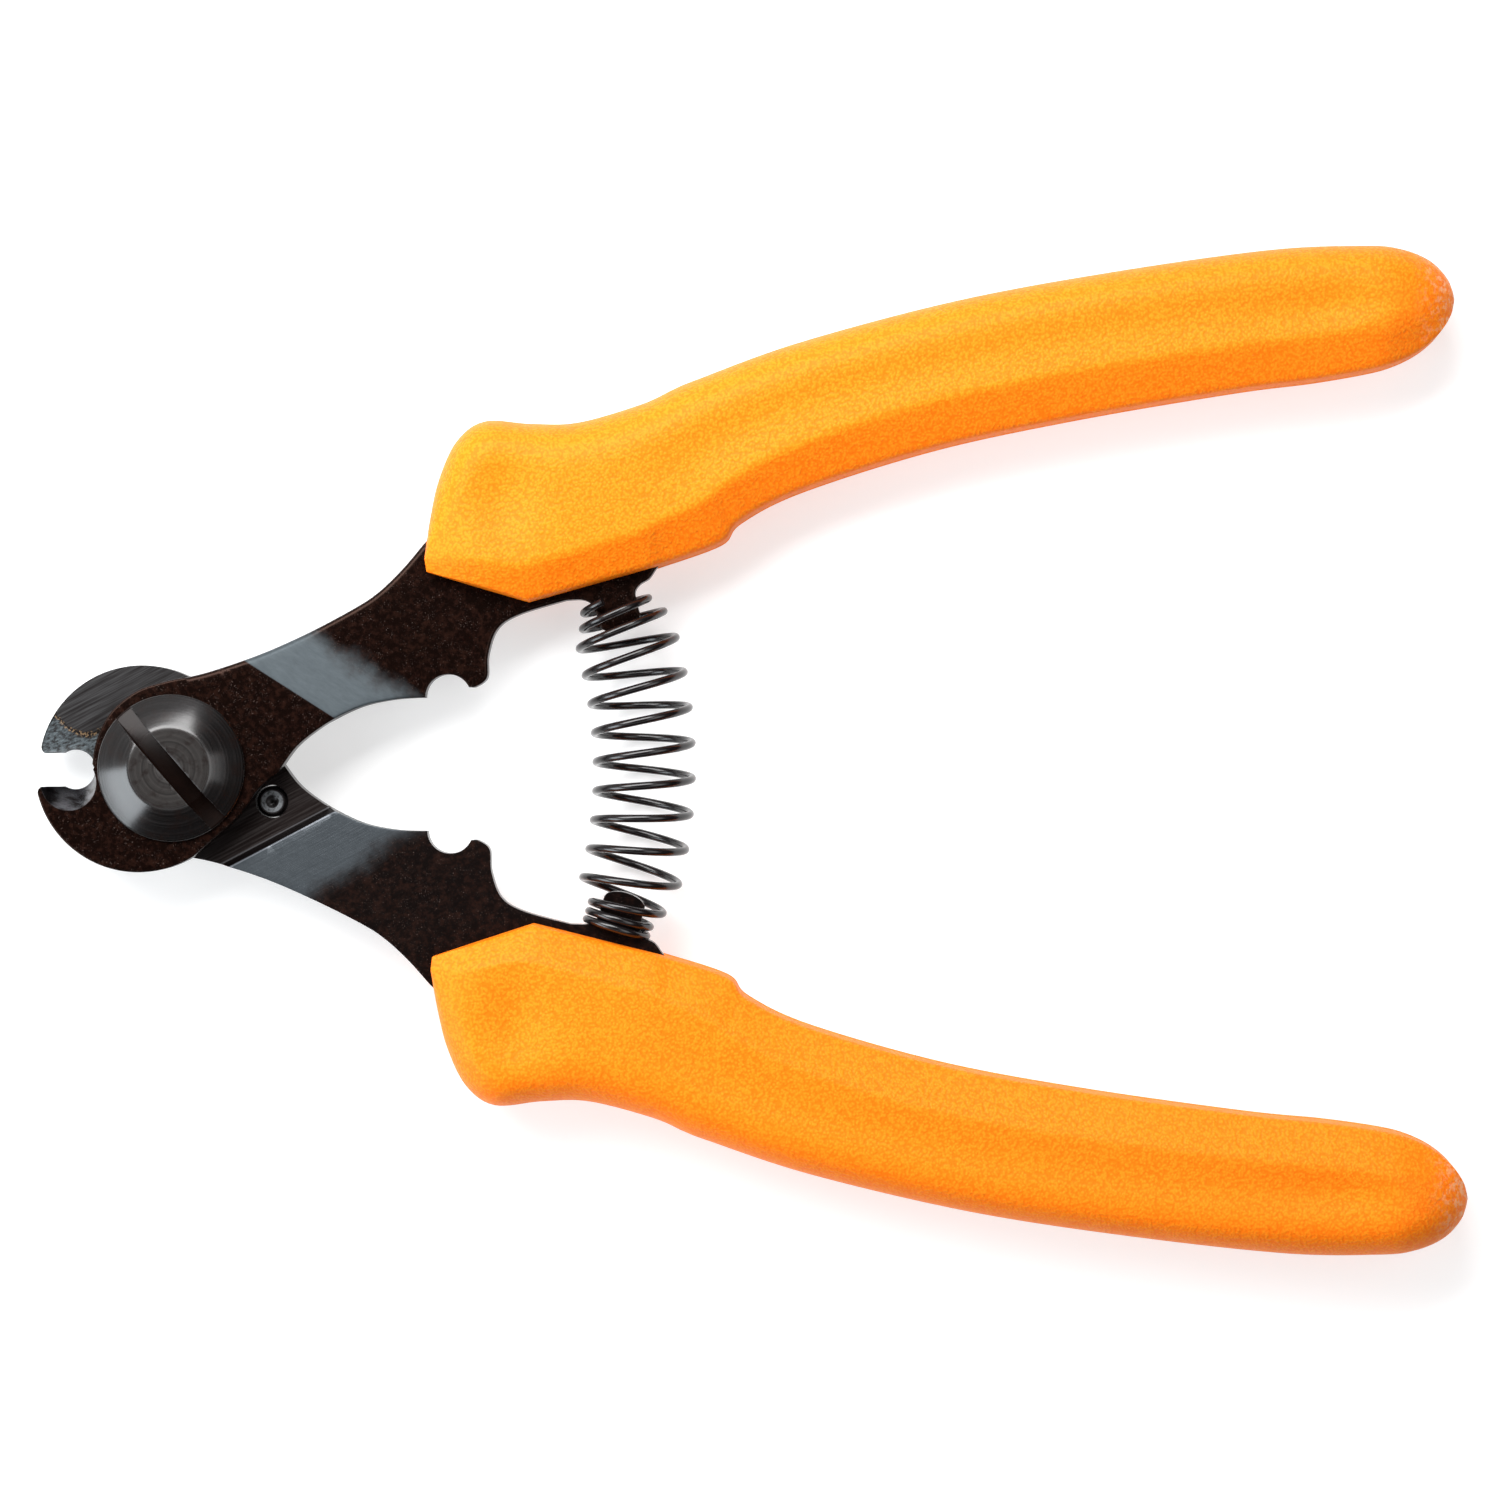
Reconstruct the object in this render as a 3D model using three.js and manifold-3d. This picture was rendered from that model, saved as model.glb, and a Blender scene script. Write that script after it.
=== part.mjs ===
// Cable and wire-rope shear cutter: two identical steel levers crossed on a slotted pivot bolt,
// a barrel spring between them and a moulded grip on each handle.
//
// Frame, millimetres: the origin is on the pivot axis, on the surface the tool lies on.
// +X runs along the tool towards the handles, +Y towards the handle of the front lever and
// +Z up, towards the slotted bolt head.  The two levers are one shape: the back one is the
// front one turned half a turn about the X line through the mid-plane.

import * as THREE from 'three';
import { mergeVertices } from 'three/addons/utils/BufferGeometryUtils.js';
import Module from 'manifold-3d';

const wasm = await Module();
wasm.setup();

// ---- driving dimensions ----

const MID_Z = 7.0;            // height of the mid-plane, where the two lap faces meet
const PLATE = 4.0;            // thickness of a lever
const LAP_GAP = 0.1;          // clearance between the two lap faces
const LAP_STEP = 1.1;         // depth of the recess milled for the other lever's head
const FIT_GAP = 0.3;          // clearance between a tang and the pocket of its grip

const RAMP_ANGLE = 56.6;      // degrees, direction across the joggle that centres the tang
const RAMP_START = 16.4;      // distance from the pivot to the ramp, on the outer face
const RAMP_END = 24.0;        // distance from the pivot to the foot of the ramp
const LAP_RAMP_START = 14.8;  // the same ramp on the lap face starts sooner
const STEP_ANGLE = 63.1;      // degrees, direction across the milled step
const STEP_AT = 13.7;         // distance from the pivot to the milled step

const BOLT = { shankRadius: 4.0, headRadius: 9.3, topRadius: 5.1, headHeight: 3.0 };
const BOLT_SLOT = { width: 2.3, depth: 2.45, angle: -50 };
const BORE_RADIUS = 4.08;
const NUT = { acrossFlats: 16, thickness: 2.2, holeRadius: 4.15 };
const WASHER = { outerRadius: 7.6, innerRadius: 4.3, thickness: 0.6 };
const SET_SCREW = { x: 12.24, y: -4.44, radius: 2.0, length: 3.5, holeRadius: 2.1, socket: 2.0 };

const JAW = { centreX: -4.2, radius: 13.1 };       // outer disc of the jaws
const THROAT = { centreX: -12.57, radius: 2.5 };   // round end of the cutting mouth
const BEVEL = { land: 0.4, centreX: -13.0, centreY: -1.7, radius: 3.5 };
const CRIMP = { x: 34.95, y: 8.45, radius: 2.9 };  // crimping notch in each inner edge
const TAB = { x: 56.0, y: 20.6, width: 5.3, length: 4.1, angle: -72.9, dome: 1.3 };

const SPRING = { arcRadius: 59.6, wire: 1.0, endRadius: 4.05, barrelRadius: 6.15 };
const SPRING_TURNS = 13.25;
const SPRING_END_ANGLE = 20.0;   // degrees either side of the X axis, seen from the pivot

const GRIP_HALF = 7.0;           // half the thickness of a grip
const GRIP_CHAMFER = 5.0;        // width of the chamfer along its inner side

// ---- materials ----

const finish = (color, roughness, metalness) =>
  new THREE.MeshStandardMaterial({ color, roughness, metalness });
const burnishedSteel = finish(0x241a17, 0.45, 0.7);
const boltSteel = finish(0x3c3836, 0.35, 0.85);
const springWire = finish(0x1a1817, 0.25, 0.8);
const orangeGrip = finish(0xf9960d, 0.6, 0.0);

// ---- helpers ----

const radians = (degrees) => THREE.MathUtils.degToRad(degrees);
const point = (x, y) => new THREE.Vector2(x, y);
const line = (...pairs) => pairs.map(([x, y]) => point(x, y));
const smooth = (pairs, steps) => new THREE.SplineCurve(line(...pairs)).getPoints(steps);

function arc(x, y, radius, from, to, steps) {
  return Array.from({ length: steps + 1 }, (_, i) => {
    const angle = radians(from + ((to - from) * i) / steps);
    return point(x + radius * Math.cos(angle), y + radius * Math.sin(angle));
  });
}

function withoutRepeats(points) {
  return points.filter((p, i) => p.distanceTo(points[(i + 1) % points.length]) > 1e-3);
}

function toSolid(geometry) {
  const bare = geometry.clone();
  bare.deleteAttribute('normal');
  bare.deleteAttribute('uv');
  const merged = mergeVertices(bare, 1e-4);
  const vertProperties = new Float32Array(merged.attributes.position.array);
  const triVerts = new Uint32Array(merged.index.array);
  return new wasm.Manifold(new wasm.Mesh({ numProp: 3, vertProperties, triVerts }));
}

function toGeometry(solid) {
  const { vertProperties, triVerts } = solid.getMesh();
  const geometry = new THREE.BufferGeometry();
  geometry.setAttribute('position', new THREE.BufferAttribute(vertProperties, 3));
  geometry.setIndex(new THREE.BufferAttribute(triVerts, 1));
  return geometry;
}

function prism(points, bottom, top) {
  const shape = new THREE.Shape(withoutRepeats(points));
  const geometry = new THREE.ExtrudeGeometry(shape, { depth: top - bottom, bevelEnabled: false });
  return geometry.translate(0, 0, bottom);
}

// A lathe about Z from pairs of radius and height, listed with rising height on the outside.
function turned(pairs, sides) {
  return new THREE.LatheGeometry(line(...pairs), sides).rotateX(Math.PI / 2);
}

// A prism whose section is drawn across a direction in the XY plane: pairs of distance and height.
function acrossDirection(pairs, degrees) {
  const halfLength = 300;
  const geometry = prism(line(...pairs), -halfLength, halfLength);
  return geometry.rotateX(Math.PI / 2).rotateZ(radians(degrees));
}

function moved(points, angle, x, y) {
  return points.map((p) => p.clone().rotateAround(point(0, 0), radians(angle)).add(point(x, y)));
}

// Moves each corner of a counter-clockwise outline outwards by the same distance.
function widened(points, distance) {
  const clean = withoutRepeats(points);
  return clean.map((p, i) => {
    const before = clean[(i + clean.length - 1) % clean.length];
    const after = clean[(i + 1) % clean.length];
    const a = p.clone().sub(before).normalize();
    const b = after.clone().sub(p).normalize();
    const outward = point(a.y + b.y, -a.x - b.x).normalize();
    const reach = distance / Math.max(0.5, outward.x * a.y - outward.y * a.x);
    return p.clone().addScaledVector(outward, reach);
  });
}

// ---- lever ----

// Edges of the tang that is buried in the grip, from the mouth of the pocket to its end.
const tangInner = [[61.4, 24.2], [63.5, 27.2], [70, 32], [80, 37], [95, 41.6], [115, 45.9],
  [135, 49], [145, 50.4]];
const tangOuter = [[145, 58.4], [135, 57.8], [115, 55.4], [95, 51.4], [80, 47.2], [68, 42.6],
  [58, 38.6], [48, 37], [40, 34.6], [35.4, 31.2], [32, 27.8]];

function mouthEdge() {
  const lipAngle = -122;
  return [
    ...arc(THROAT.centreX, 0, THROAT.radius, 0, lipAngle, 12),
    ...line([-14.6, -2.14], [-16.6, -2.12], [-17.25, -2.8]),
  ];
}

function jawAndHubEdge() {
  return [
    ...arc(JAW.centreX, 0, JAW.radius, -168, -62, 24),
    ...smooth([[2.6, -11.2], [4.9, -9.2], [7.5, -7], [9.45, -4.8], [11, -2.7], [13.6, -0.5]], 9),
  ];
}

function innerEdge() {
  return [
    ...smooth([[13.6, -0.5], [15.8, 2.45], [18.8, 4.8], [21.8, 6.5], [24.8, 7.65], [28.5, 8.3],
      [32.05, 8.45]], 12),
    ...arc(CRIMP.x, CRIMP.y, CRIMP.radius, 180, 25, 9),
    ...smooth([[37.6, 9.7], [38.5, 9.75], [39.9, 10.9], [40.1, 13.8], [41.3, 17], [44.1, 18.8],
      [50, 20.5]], 16),
  ];
}

// The tab that holds the end of the spring, drawn along +X and then turned into place.
function springTab() {
  const half = TAB.width / 2;
  const dome = arc(0, 0, 1, -90, 90, 8).map((p) =>
    point(TAB.length - TAB.dome + p.x * TAB.dome, p.y * half));
  return moved([point(0, -half), ...dome, point(0, half)], TAB.angle, TAB.x, TAB.y);
}

function hubEdge() {
  return [
    ...smooth([[32, 27.8], [29.3, 24.7], [26.3, 21.9], [23.3, 19.95], [17.3, 16.85],
      [11.3, 14.2], [5.3, 12.2], [1.9, 11.4]], 14),
    ...smooth([[1.9, 11.4], [-0.8, 10.9], [-4.4, 9.7], [-7.6, 7.1], [-9.4, 3.7],
      [-10.0, 0.7]], 10),
  ];
}

function leverOutline() {
  return [
    ...mouthEdge(),
    ...jawAndHubEdge(),
    ...innerEdge(),
    ...line([52, 20.5], [52.9, 20.2]),
    ...springTab(),
    ...line([59.2, 22.2], [60.4, 22.9]),
    ...line(...tangInner),
    ...smooth([[145, 50.4], [149, 52.2], [150, 54.6], [148.8, 57.2], [145, 58.4]], 6),
    ...line(...tangOuter),
    ...hubEdge(),
  ];
}

// Outer face and tang: the head stands one plate above the lap face and the tang is centred.
function joggleBounds() {
  const half = PLATE / 2;
  return acrossDirection([[-80, PLATE], [-80, -LAP_STEP], [LAP_RAMP_START, -LAP_STEP],
    [RAMP_END, -half], [260, -half], [260, half], [RAMP_END, half], [RAMP_START, PLATE]],
    RAMP_ANGLE);
}

// Lap face: flat as far as the milled step, whose wall leans back.
function lapBounds() {
  const floor = LAP_GAP / 2;
  const depth = 6;
  const lean = 0.6;
  return acrossDirection([[-80, 8], [-80, floor], [STEP_AT, floor],
    [STEP_AT + depth * lean, floor - depth], [260, floor - depth], [260, 8]], STEP_ANGLE);
}

// Skewed cone that sharpens the mouth, from a narrow land at the lap face to the outer face.
function mouthBevel() {
  const rise = PLATE - BEVEL.land;
  const overrun = 0.2;
  const radiusAt = (h) => THROAT.radius + ((BEVEL.radius - THROAT.radius) * h) / rise;
  const low = -overrun;
  const high = rise + overrun;
  const cone = turned([[0, low], [radiusAt(low), low], [radiusAt(high), high], [0, high]], 32);
  const skewX = (BEVEL.centreX - THROAT.centreX) / rise;
  const skewY = BEVEL.centreY / rise;
  const skew = new THREE.Matrix4().set(1, 0, skewX, 0, 0, 1, skewY, 0, 0, 0, 1, 0, 0, 0, 0, 1);
  return cone.applyMatrix4(skew).translate(THROAT.centreX, 0, BEVEL.land);
}

function leverSolid() {
  const blank = toSolid(prism(leverOutline(), -6, 6));
  const shaped = blank.intersect(toSolid(joggleBounds())).intersect(toSolid(lapBounds()));
  const bore = toSolid(turned([[0, -8], [BORE_RADIUS, -8], [BORE_RADIUS, 8], [0, 8]], 48));
  return shaped.subtract(bore).subtract(toSolid(mouthBevel()));
}

// ---- grip ----

// Outer and inner edge of the grip in matching stretches, from its jaw end to its round tip.
const gripStretches = [
  { steps: 6, outer: [[32.3, 26.6], [32.9, 31], [34.1, 36], [36.1, 40.4], [37.9, 42.5], [40, 43.2]],
    inner: [[32.6, 24.2], [45.4, 20.2]] },
  { steps: 5, outer: [[40, 43.2], [42.5, 43.25], [46, 42.9], [52, 43], [60, 45.2]],
    inner: [[45.4, 20.2], [62, 24.6]] },
  { steps: 3, outer: [[60, 45.2], [64, 47], [67, 48.2]],
    inner: [[62, 24.6], [69.8, 27.3], [72.3, 30]] },
  { steps: 11, outer: [[67, 48.2], [80, 52.7], [100, 57.7], [120, 61.1], [140, 63.6],
    [152, 63.95]], inner: [[72.3, 30], [80, 33.8], [97, 38.9], [115, 42.5], [135, 45.7],
    [152, 47.9]] },
  { steps: 8, outer: [[152, 63.95], [154.8, 63.75], [157.6, 63.15], [160.4, 61.8], [162.3, 59.8],
    [163, 58]], inner: [[152, 47.9], [154.6, 48.3], [157.2, 49.3], [159.8, 51], [162, 53.8],
    [163, 56.4]] },
];

function gripStations() {
  return gripStretches.flatMap(({ steps, outer, inner }, i) => {
    const outerPoints = smooth(outer, steps);
    const innerPoints = smooth(inner, steps);
    const stations = outerPoints.map((p, k) => ({ outer: p, inner: innerPoints[k] }));
    return i === 0 ? stations : stations.slice(1);
  });
}

// One side of the section: share of the width from the outer edge, and height above mid-plane.
function gripProfile(width, height) {
  const outerRound = Math.min(4.6, width * 0.3) / width;
  const chamfer = Math.min(GRIP_CHAMFER, width * 0.32) / width;
  return [
    [0, height * 0.28],
    [outerRound * 0.12, height * 0.58],
    [outerRound * 0.45, height * 0.86],
    [outerRound, height],
    [1 - chamfer, height],
    [1 - chamfer * 0.1, height * 0.45],
    [1, height * 0.2],
  ];
}

// Half thickness at a station: full along the handle, lower at the jaw end, round at the tip.
function gripHeight(station) {
  const jawEnd = 32.4;
  const fullFrom = 41;
  const jawEndShare = 0.66;
  const tipStart = 150;
  const tipEnd = 163.8;
  const middle = (station.outer.x + station.inner.x) / 2;
  const rise = THREE.MathUtils.clamp((middle - jawEnd) / (fullFrom - jawEnd), 0, 1);
  const drop = THREE.MathUtils.clamp((middle - tipStart) / (tipEnd - tipStart), 0, 1);
  const jawShare = jawEndShare + (1 - jawEndShare) * Math.sin((rise * Math.PI) / 2);
  return GRIP_HALF * jawShare * Math.sqrt(1 - drop * drop);
}

function gripBody() {
  const rings = gripStations().map((station) => {
    const width = station.outer.distanceTo(station.inner);
    const upper = gripProfile(width, gripHeight(station)).map(([share, z]) => {
      const p = station.outer.clone().lerp(station.inner, share);
      return [p.x, p.y, z];
    });
    const lower = upper.map(([x, y, z]) => [x, y, -z]).reverse();
    return [...upper, ...lower];
  });
  return loft(rings);
}

// A closed skin through rings with the same number of corners, with a flat fan at each end.
function loft(rings) {
  const size = rings[0].length;
  const faces = [];
  for (let r = 0; r + 1 < rings.length; r += 1) {
    for (let k = 0; k < size; k += 1) {
      const here = r * size + k;
      const next = r * size + ((k + 1) % size);
      faces.push(here, next, next + size, here, next + size, here + size);
    }
  }
  const last = (rings.length - 1) * size;
  for (let k = 1; k + 1 < size; k += 1) {
    faces.push(0, k + 1, k, last, last + k, last + k + 1);
  }
  const geometry = new THREE.BufferGeometry();
  geometry.setAttribute('position', new THREE.Float32BufferAttribute(rings.flat(2), 3));
  geometry.setIndex(faces);
  return geometry;
}

// The pocket follows the tang and is open towards the jaws and the spring.
function gripPocket() {
  const openSide = [[26, 22], [30, 14], [50, 14], [59.8, 22.2]];
  const outline = line(...openSide, ...tangInner, [149, 52.2], [150, 54.6], [148.8, 57.2],
    ...tangOuter);
  const half = PLATE / 2 + FIT_GAP;
  return prism(widened(outline, FIT_GAP), -half, half);
}

function gripSolid() {
  return toSolid(gripBody()).subtract(toSolid(gripPocket()));
}

// ---- bolt, nut, washer and set screw, with heights measured from the mid-plane ----

function boltGeometry() {
  const seat = PLATE + LAP_GAP;
  const top = seat + BOLT.headHeight;
  const bottom = -MID_Z;
  const blank = toSolid(turned([[0, bottom], [BOLT.shankRadius - 0.4, bottom],
    [BOLT.shankRadius, bottom + 0.4], [BOLT.shankRadius, seat], [BOLT.headRadius, seat],
    [BOLT.headRadius, seat + 0.5], [BOLT.topRadius, top], [0, top]], 48));
  const cut = new THREE.BoxGeometry(3 * BOLT.headRadius, BOLT_SLOT.width, 2 * BOLT_SLOT.depth);
  cut.rotateZ(radians(BOLT_SLOT.angle)).translate(0, 0, top);
  return toGeometry(blank.subtract(toSolid(cut)));
}

function nutGeometry() {
  const corner = NUT.acrossFlats / Math.sqrt(3);
  const hexagon = arc(0, 0, corner, 0, 300, 5);
  const shape = new THREE.Shape(hexagon);
  shape.holes.push(new THREE.Path(arc(0, 0, NUT.holeRadius, 0, -352.5, 47)));
  const options = { depth: NUT.thickness, bevelEnabled: false };
  return new THREE.ExtrudeGeometry(shape, options).translate(0, 0, -MID_Z);
}

function washerGeometry() {
  const top = -PLATE - LAP_GAP;
  const bottom = top - WASHER.thickness;
  return turned([[WASHER.innerRadius, bottom], [WASHER.outerRadius, bottom],
    [WASHER.outerRadius, top], [WASHER.innerRadius, top], [WASHER.innerRadius, bottom]], 48);
}

// Cup point towards the lap face, hexagon socket on the other side.
function setScrewGeometry() {
  const top = -0.35;
  const bottom = top - SET_SCREW.length;
  const { radius, socket } = SET_SCREW;
  const blank = toSolid(turned([[0, bottom], [radius, bottom], [radius, top - 0.4],
    [radius - 0.35, top], [radius - 0.7, top], [0, top - 0.8]], 24));
  const hexagon = arc(0, 0, socket / Math.sqrt(3), 0, 300, 5);
  const cut = blank.subtract(toSolid(prism(hexagon, bottom - 1, bottom + 1.6)));
  return toGeometry(cut).translate(SET_SCREW.x, SET_SCREW.y, 0);
}

function setScrewHole() {
  const hole = turned([[0, -8], [SET_SCREW.holeRadius, -8], [SET_SCREW.holeRadius, 8],
    [0, 8]], 24);
  return toSolid(hole.translate(SET_SCREW.x, SET_SCREW.y, 0));
}

// ---- return spring ----

// Wire centre line: close turns at each end, wide turns between, wound about an arc that is
// centred on the pivot.
class SpringPath extends THREE.Curve {
  getPoint(share, target = new THREE.Vector3()) {
    const turn = share * SPRING_TURNS;
    const fromEnd = Math.min(turn, SPRING_TURNS - turn);
    const widening = THREE.MathUtils.smoothstep(fromEnd, 1.7, 3.0);
    const coil = THREE.MathUtils.lerp(SPRING.endRadius, SPRING.barrelRadius, widening);
    const along = radians(SPRING_END_ANGLE * springAdvance(share));
    const winding = 2 * Math.PI * turn;
    const reach = SPRING.arcRadius + coil * Math.cos(winding);
    return target.set(reach * Math.cos(along), reach * Math.sin(along), coil * Math.sin(winding));
  }
}

// From 1 at the front lever's tab to -1 at the back lever's: slow over the close end turns.
function springAdvance(share) {
  const closeTurns = 2;
  const closeRise = 1.15;
  const wideRise = 1 - (closeRise * closeTurns * SPRING.wire) / (SPRING.arcRadius
    * radians(SPRING_END_ANGLE));
  const fromMiddle = 1 - 2 * share;
  const closeShare = 1 - (2 * closeTurns) / SPRING_TURNS;
  const away = Math.abs(fromMiddle);
  const beyond = Math.max(0, away - closeShare) / (1 - closeShare);
  const within = Math.min(away, closeShare) / closeShare;
  return Math.sign(fromMiddle) * (within * wideRise + beyond * (1 - wideRise));
}

function springGeometry() {
  const wireSides = 6;
  const stepsPerTurn = 16;
  const section = new THREE.Shape(arc(0, 0, SPRING.wire / 2, 0, 360 - 360 / wireSides,
    wireSides - 1));
  const steps = Math.round(SPRING_TURNS * stepsPerTurn);
  return new THREE.ExtrudeGeometry(section, { steps, extrudePath: new SpringPath() });
}

// ---- assembly ----

function piece(name, geometry, material) {
  const mesh = new THREE.Mesh(geometry, material);
  mesh.name = name;
  return mesh;
}

function assemble() {
  const lever = leverSolid();
  const grip = toGeometry(gripSolid());
  const front = new THREE.Group();
  front.add(piece('front_blade_lever', toGeometry(lever), burnishedSteel));
  front.add(piece('front_grip', grip, orangeGrip));

  const turnedOver = new THREE.Group();
  const hole = setScrewHole();
  const overHole = hole.rotate([180, 0, 0]);
  turnedOver.add(piece('back_blade_lever', toGeometry(lever.subtract(overHole)), burnishedSteel));
  turnedOver.add(piece('back_grip', grip.clone(), orangeGrip));
  turnedOver.rotation.x = Math.PI;

  const whole = new THREE.Group();
  whole.add(front, turnedOver);
  whole.add(piece('pivot_bolt', boltGeometry(), boltSteel));
  whole.add(piece('pivot_nut', nutGeometry(), boltSteel));
  whole.add(piece('spring_washer', washerGeometry(), boltSteel));
  whole.add(piece('set_screw', setScrewGeometry(), boltSteel));
  whole.add(piece('return_spring', springGeometry(), springWire));
  whole.position.z = MID_Z;
  return whole;
}

export default assemble();
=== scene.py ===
"""Looks of the cable shear cutter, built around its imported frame.

Everything is in the row frame: metres, the pivot axis on Z, the tool lying on z = 0 with its jaws
towards -X.  Shapes are written in millimetres and turned into metres when a mesh is made; until then
their heights are measured from the mid-plane between the two levers."""

import math

import bmesh
import bpy
import numpy as np
from mathutils import Matrix, Vector, geometry


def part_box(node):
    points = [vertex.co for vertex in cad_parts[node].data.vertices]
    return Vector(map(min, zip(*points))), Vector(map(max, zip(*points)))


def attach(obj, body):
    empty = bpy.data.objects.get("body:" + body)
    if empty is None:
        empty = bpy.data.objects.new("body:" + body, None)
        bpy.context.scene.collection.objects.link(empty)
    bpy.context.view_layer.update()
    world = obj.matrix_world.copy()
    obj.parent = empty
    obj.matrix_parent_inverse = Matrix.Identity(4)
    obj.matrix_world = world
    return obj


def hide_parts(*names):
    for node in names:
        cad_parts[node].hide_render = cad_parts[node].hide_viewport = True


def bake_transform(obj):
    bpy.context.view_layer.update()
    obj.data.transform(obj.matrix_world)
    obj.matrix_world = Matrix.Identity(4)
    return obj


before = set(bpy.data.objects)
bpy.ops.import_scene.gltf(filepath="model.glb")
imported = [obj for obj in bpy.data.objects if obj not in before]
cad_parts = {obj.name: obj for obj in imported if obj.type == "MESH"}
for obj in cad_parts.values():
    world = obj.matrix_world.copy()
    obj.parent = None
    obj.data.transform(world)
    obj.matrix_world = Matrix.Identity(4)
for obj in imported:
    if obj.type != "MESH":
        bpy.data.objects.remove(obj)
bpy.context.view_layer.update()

MM = 0.001

# ---- sizes, in millimetres and degrees ----

GRIP_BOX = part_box("front_grip")
MID_Z = (GRIP_BOX[0][2] + GRIP_BOX[1][2]) / 2 / MM
GRIP_HALF = (GRIP_BOX[1][2] - GRIP_BOX[0][2]) / 2 / MM

PLATE = 4.0
LAP_GAP = 0.1
LAP_STEP = 1.1
STEP_WALL = 0.65
RAMP_ANGLE = 56.6
RAMP_START = 16.4
RAMP_END = 24.0
LAP_RAMP_START = 14.8
STEP_ANGLE = 63.1
STEP_AT = 13.7
BORE_RADIUS = 4.1

JAW_X, JAW_RADIUS = -4.2, 13.1
THROAT_X, THROAT_RADIUS = -12.57, 2.5
BEVEL_X, BEVEL_Y, BEVEL_RADIUS, BEVEL_LAND = -13.0, -1.7, 3.5, 0.4
CRIMP_X, CRIMP_Y, CRIMP_RADIUS = 34.95, 8.45, 2.9
TAB_X, TAB_Y, TAB_WIDTH, TAB_LENGTH, TAB_ANGLE, TAB_DOME = 56.0, 20.6, 5.3, 4.1, -72.9, 1.3

SCREW_X, SCREW_Y, SCREW_RADIUS, SCREW_HOLE = 12.24, -4.44, 2.0, 2.1
SOCKET_FLATS, SOCKET_DEPTH = 2.0, 1.5


# ---- outlines ----

def spline(points, steps, before=None, beyond_end=None):
    """Catmull-Rom curve through points, evenly spread over its spans.

    before and beyond_end are neighbouring points that the ends lead into."""
    p = np.array(points, float)
    first = p[0] if before is None else before
    last = p[-1] if beyond_end is None else beyond_end
    padded = np.vstack([first, p, last])
    t = np.linspace(0, len(p) - 1, steps + 1)
    span = np.minimum(t.astype(int), len(p) - 2)
    u = (t - span)[:, None]
    before, here, after, beyond = (padded[span + k] for k in range(4))
    v0, v1 = (after - before) / 2, (beyond - here) / 2
    cubic = (2 * here - 2 * after + v0 + v1) * u**3
    return cubic + (-3 * here + 3 * after - 2 * v0 - v1) * u**2 + v0 * u + here


def arc(x, y, radius, start, stop, steps):
    """Points on part of a circle, from one angle in degrees to another."""
    angles = np.radians(np.linspace(start, stop, steps + 1))
    return np.column_stack([x + radius * np.cos(angles), y + radius * np.sin(angles)])


def evened(values):
    """Running mean of values, each with its nearest neighbours on both sides."""
    reach = 6
    count = 2 * reach + 1
    return np.convolve(np.pad(values, reach, "edge"), np.ones(count) / count, "valid")


def turned_points(points, degrees):
    """Points turned about the origin."""
    c, s = math.cos(math.radians(degrees)), math.sin(math.radians(degrees))
    return np.array(points) @ np.array([[c, s], [-s, c]])


TANG_INNER = [(61.4, 24.2), (63.5, 27.2), (70, 32), (80, 37), (95, 41.6), (115, 45.9), (135, 49)]
TANG_END = [(145, 50.4), (149, 52.2), (150, 54.6), (148.8, 57.2), (145, 58.4)]
TANG_OUTER = [(135, 57.8), (115, 55.4), (95, 51.4), (80, 47.2), (68, 42.6), (58, 38.6), (48, 37),
              (40, 34.6), (35.4, 31.2), (32, 27.8)]


def spring_tab():
    """The tab inside one end of the spring, with a domed tip."""
    half = TAB_WIDTH / 2
    dome = arc(0, 0, 1, -90, 90, 20) * (TAB_DOME, half) + (TAB_LENGTH - TAB_DOME, 0)
    tab = np.vstack([[(0, -half)], dome, [(0, half)]])
    return turned_points(tab, TAB_ANGLE) + (TAB_X, TAB_Y)


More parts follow.
